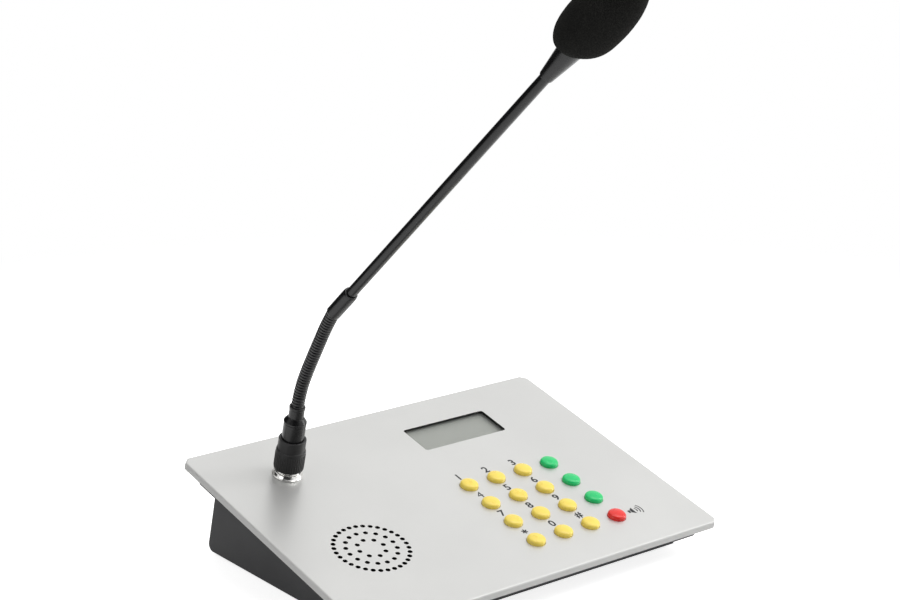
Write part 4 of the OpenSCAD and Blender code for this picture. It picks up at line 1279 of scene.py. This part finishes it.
cloth = make_finish("grille_cloth", (0.010, 0.010, 0.010, 1), 0.92, tint=0.2,
                    Specular_IOR_Level=0.15)
add_height(cloth, woven, 0.12)
recolour(cloth, lambda tree: woven(tree) * 0.5, (0.022, 0.022, 0.023, 1))
dress(cloth, "grille_cloth")
paper = make_finish("pressed_paper", (0.035, 0.034, 0.032, 1), 0.85, grain=(1800.0, 0.05),
                    tint=0.15, Specular_IOR_Level=0.2)
add_height(paper, pressed_rings, 0.15)
dress(paper, "speaker_cone")
dress(make_finish("ferrite", (0.05, 0.05, 0.055, 1), 0.60, grain=(1500.0, 0.03), tint=0.15),
      "speaker_magnet")

# %% Plastics and metals of the hidden parts
POWER_AT, POWER_PIN_R = {"U": 42.0, "W": -34.5}, 1.2
gilt = make_finish("gilded_brass", (0.80, 0.60, 0.26, 1), 0.25, Metallic=1.0,
                   grain=(9000.0, 0.001), smudge=(600.0, 0.1), tint=0.08)
dress(gilt, "plug_pins")
dress(make_finish("moulded_black_plastic", (0.018, 0.018, 0.018, 1), 0.48,
                  grain=(2200.0, 0.015), smudge=(60.0, 0.08), tint=0.1),
      "speaker_frame", "key_switches", "audio_jack", "socket_insert", "plug_insert",
      "network_jack")
dress(screw_steel, "keypad_spacers", "display_spacers", "board_spacers", "socket_nut",
      "mic_capsule")
dress(satin_black, "capsule_cup")


def power_pin(tree):
    """1 on the pin in the middle of the power socket."""
    return calc("LESS_THAN", squared_distance(tree, **POWER_AT), POWER_PIN_R ** 2)


power_plastic = make_finish("power_socket_plastic", (0.018, 0.018, 0.018, 1), 0.45,
                            grain=(2200.0, 0.015), tint=0.1)
recolour(power_plastic, power_pin, (0.75, 0.75, 0.76, 1))
set_shader(power_plastic, Metallic=power_pin(power_plastic.node_tree))
dress(power_plastic, "power_jack")


# %% Circuit boards
BLACK_PARTS, TALL_PARTS = (0.05, (0.015, 0.015, 0.016, 1)), (3.0, srgb(70, 78, 96))
BOARD_TOPS = {"main": -40.0, "keypad": -11.5, "display": -9.0}


def tracks(tree):
    """Copper tracks under the solder mask, as slightly lighter lines."""
    place = use_group(tree, PANEL_PLACE)
    return add_node(tree, "ShaderNodeTexBrick", {
        "Vector": xyz(tree, place["U"], place["V"]), "Color1": (0, 0, 0, 1),
        "Color2": (0.3, 0.3, 0.3, 1), "Mortar": (1, 1, 1, 1), "Scale": 1.0,
        "Mortar Size": 0.22, "Brick Width": 7.0, "Row Height": 2.1})["Color"]


for board, top in BOARD_TOPS.items():
    mask = make_finish(board + "_solder_mask", srgb(24, 92, 56), 0.38, grain=(3000.0, 0.004),
                       tint=0.08)
    recolour(mask, tracks, srgb(44, 120, 76))
    for over, colour in (BLACK_PARTS, TALL_PARTS):
        recolour(mask, lambda tree: calc("GREATER_THAN", use_group(tree, PANEL_PLACE)["W"],
                                         top + over), colour)
    dress(mask, board + "_board")

# %% Contacts of the network socket
CONTACTS, CONTACT_PITCH, CONTACTS_AT, WIRE_R = 8, 1.02, (70.0, 92.3), 0.22
CONTACT_PATH = ((-12.6, -30.0), (-9, -30.1), (-6.5, -30.6), (-2.6, -33.0), (-2.2, -33.2))


def contact_mesh(sides=8):
    """A springy wire that slopes into the socket, v outward and w up."""
    path = [Vector((0, v, w)) for v, w in CONTACT_PATH]
    last = len(path) - 1
    corners, faces = [], [range(sides), range(sides * last, sides * (last + 1))]
    for k, spot in enumerate(path):
        along = (path[min(k + 1, last)] - path[max(k - 1, 0)]).normalized()
        side, up = Vector((1, 0, 0)), along.cross(Vector((1, 0, 0)))
        corners += [spot + WIRE_R * (side * math.cos(a) + up * math.sin(a))
                    for a in np.linspace(0, 2 * math.pi, sides, endpoint=False)]
    for low in range(0, sides * last, sides):
        for j in range(sides):
            k = (j + 1) % sides
            faces.append((low + j, low + k, low + sides + k, low + sides + j))
    mesh = edited(mesh_of("contact_wire", corners, faces=faces),
                  lambda bm: bmesh.ops.recalc_face_normals(bm, faces=bm.faces))
    mesh.shade_smooth()
    return mesh


contact_us = [CONTACTS_AT[0] + CONTACT_PITCH * (k - (CONTACTS - 1) / 2) for k in range(CONTACTS)]
scattered("network_contacts", contact_mesh(),
          [((u, CONTACTS_AT[1], 0), (0, 0, 0)) for u in contact_us], panel, gilt, [])
print("nodes left in sight:", sum(not o.hide_render for o in frame["nodes"].values()))

# %% [markdown]
# ## The floor, the studio and the light
#
# The photograph is a product shot on pure white. A pale floor runs into a pale world, and a
# few soft lamps add shape. Behind the camera the studio is dark, as a real one is, and a
# black flag stands at the left: they put the deep middle in the chrome and keep the black
# parts black.


# %% Floor
FLOOR_R, FLOOR_GLOW = 1.05, 0.82
FADE_FROM, FADE_TO = 0.3, 0.95


def seen_rays(tree):
    """1 for rays that show the background: from the camera, mirrored or through glass."""
    path = add_node(tree, "ShaderNodeLightPath")
    return calc("MAXIMUM", path["Is Camera Ray"],
                calc("MAXIMUM", path["Is Glossy Ray"], path["Is Transmission Ray"]))


def make_floor():
    """White paper that keeps shadows near the console and is pure white far from it."""
    sides = 64
    rim = [(FLOOR_R * math.cos(a), FLOOR_R * math.sin(a), 0)
           for a in np.linspace(0, 2 * math.pi, sides, endpoint=False)]
    mesh = mesh_of("studio_floor", rim, faces=[range(sides)])
    material = bpy.data.materials.new("studio_white")
    material.use_nodes = True
    tree = material.node_tree
    away = add_node(tree, "ShaderNodeVectorMath", {0: object_place(tree)}, operation="LENGTH")
    far = add_node(tree, "ShaderNodeMapRange", {
        "Value": away["Value"], "From Min": FADE_FROM, "From Max": FADE_TO},
        interpolation_type="SMOOTHSTEP")
    near = mixed(tree, use_group(tree, SMUDGES), (0.78, 0.78, 0.78, 1), (0.80, 0.80, 0.80, 1))
    seen = seen_rays(tree)
    glow = calc("MINIMUM", 1.0, far * (2.0 * (1.0 - FLOOR_GLOW)) + FLOOR_GLOW)
    set_shader(material, Roughness=0.9, Specular_IOR_Level=0.0, Emission_Color=(1, 1, 1, 1),
               Emission_Strength=seen * glow,
               Base_Color=mixed(tree, far * seen, near, (0, 0, 0, 1)))
    mesh.materials.append(material)
    floor = bpy.data.objects.new("studio_floor", mesh)
    bpy.context.scene.collection.objects.link(floor)
    print("floor:", FLOOR_R, "m to its rim")


make_floor()

# %% World with two dark places
WORLD_LIGHT, DARK_SIDE = 0.70, 0.04
FLAG = Vector((-0.43, 0.90, 0.0)).normalized()
# The way to each dark place, and the cosines at which the dark starts and is full
DARK_PLACES = ((camera.location.normalized(), 0.45, 0.88), (FLAG, 0.62, 0.84))


def make_world():
    """White for what the camera sees, softer as light, with two dark places: one behind
    the camera, and one like a black flag at the left, which the stem's left side mirrors."""
    world = bpy.data.worlds.new("studio")
    world.use_nodes = True
    tree = world.node_tree
    tree.nodes.clear()
    around = add_node(tree, "ShaderNodeTexCoord")["Generated"]
    level = seen_rays(tree) * (1.0 - WORLD_LIGHT) + WORLD_LIGHT
    for way, edge, core in DARK_PLACES:
        facing = vector_math(tree, "DOT_PRODUCT", around, way)["Value"]
        level = level * add_node(tree, "ShaderNodeMapRange", {
            "Value": facing, "From Min": edge, "From Max": core, "To Min": 1.0,
            "To Max": DARK_SIDE}, interpolation_type="SMOOTHSTEP")
    light = add_node(tree, "ShaderNodeBackground", {"Color": (1, 1, 1, 1), "Strength": level})
    feed(tree, tree.nodes.new("ShaderNodeOutputWorld").inputs["Surface"], light)
    bpy.context.scene.world = world
    print("world:", len(tree.nodes), "nodes,", len(DARK_PLACES), "dark places")


make_world()


# %% Lamps
def softbox(name, at, aim, size, watts):
    lamp = bpy.data.lights.new(name, "AREA")
    lamp.shape = "RECTANGLE"
    lamp.size, lamp.size_y = size
    lamp.energy = watts
    holder = bpy.data.objects.new(name, lamp)
    holder.location = at
    holder.rotation_euler = (Vector(aim) - Vector(at)).to_track_quat("-Z", "Y").to_euler()
    bpy.context.scene.collection.objects.link(holder)
    print(f"{name}: {watts} W")


softbox("overhead", (0.5, -0.35, 1.9), (0, 0.05, 0), (1.5, 1.5), 18)
softbox("left_fill", (-1.4, -0.2, 0.5), (0, 0, 0.1), (0.7, 0.7), 2.5)
softbox("right_strip", (1.3, -0.5, 0.8), (0, 0.05, 0.2), (0.4, 1.4), 9)
bpy.context.scene.view_settings.view_transform = "Standard"
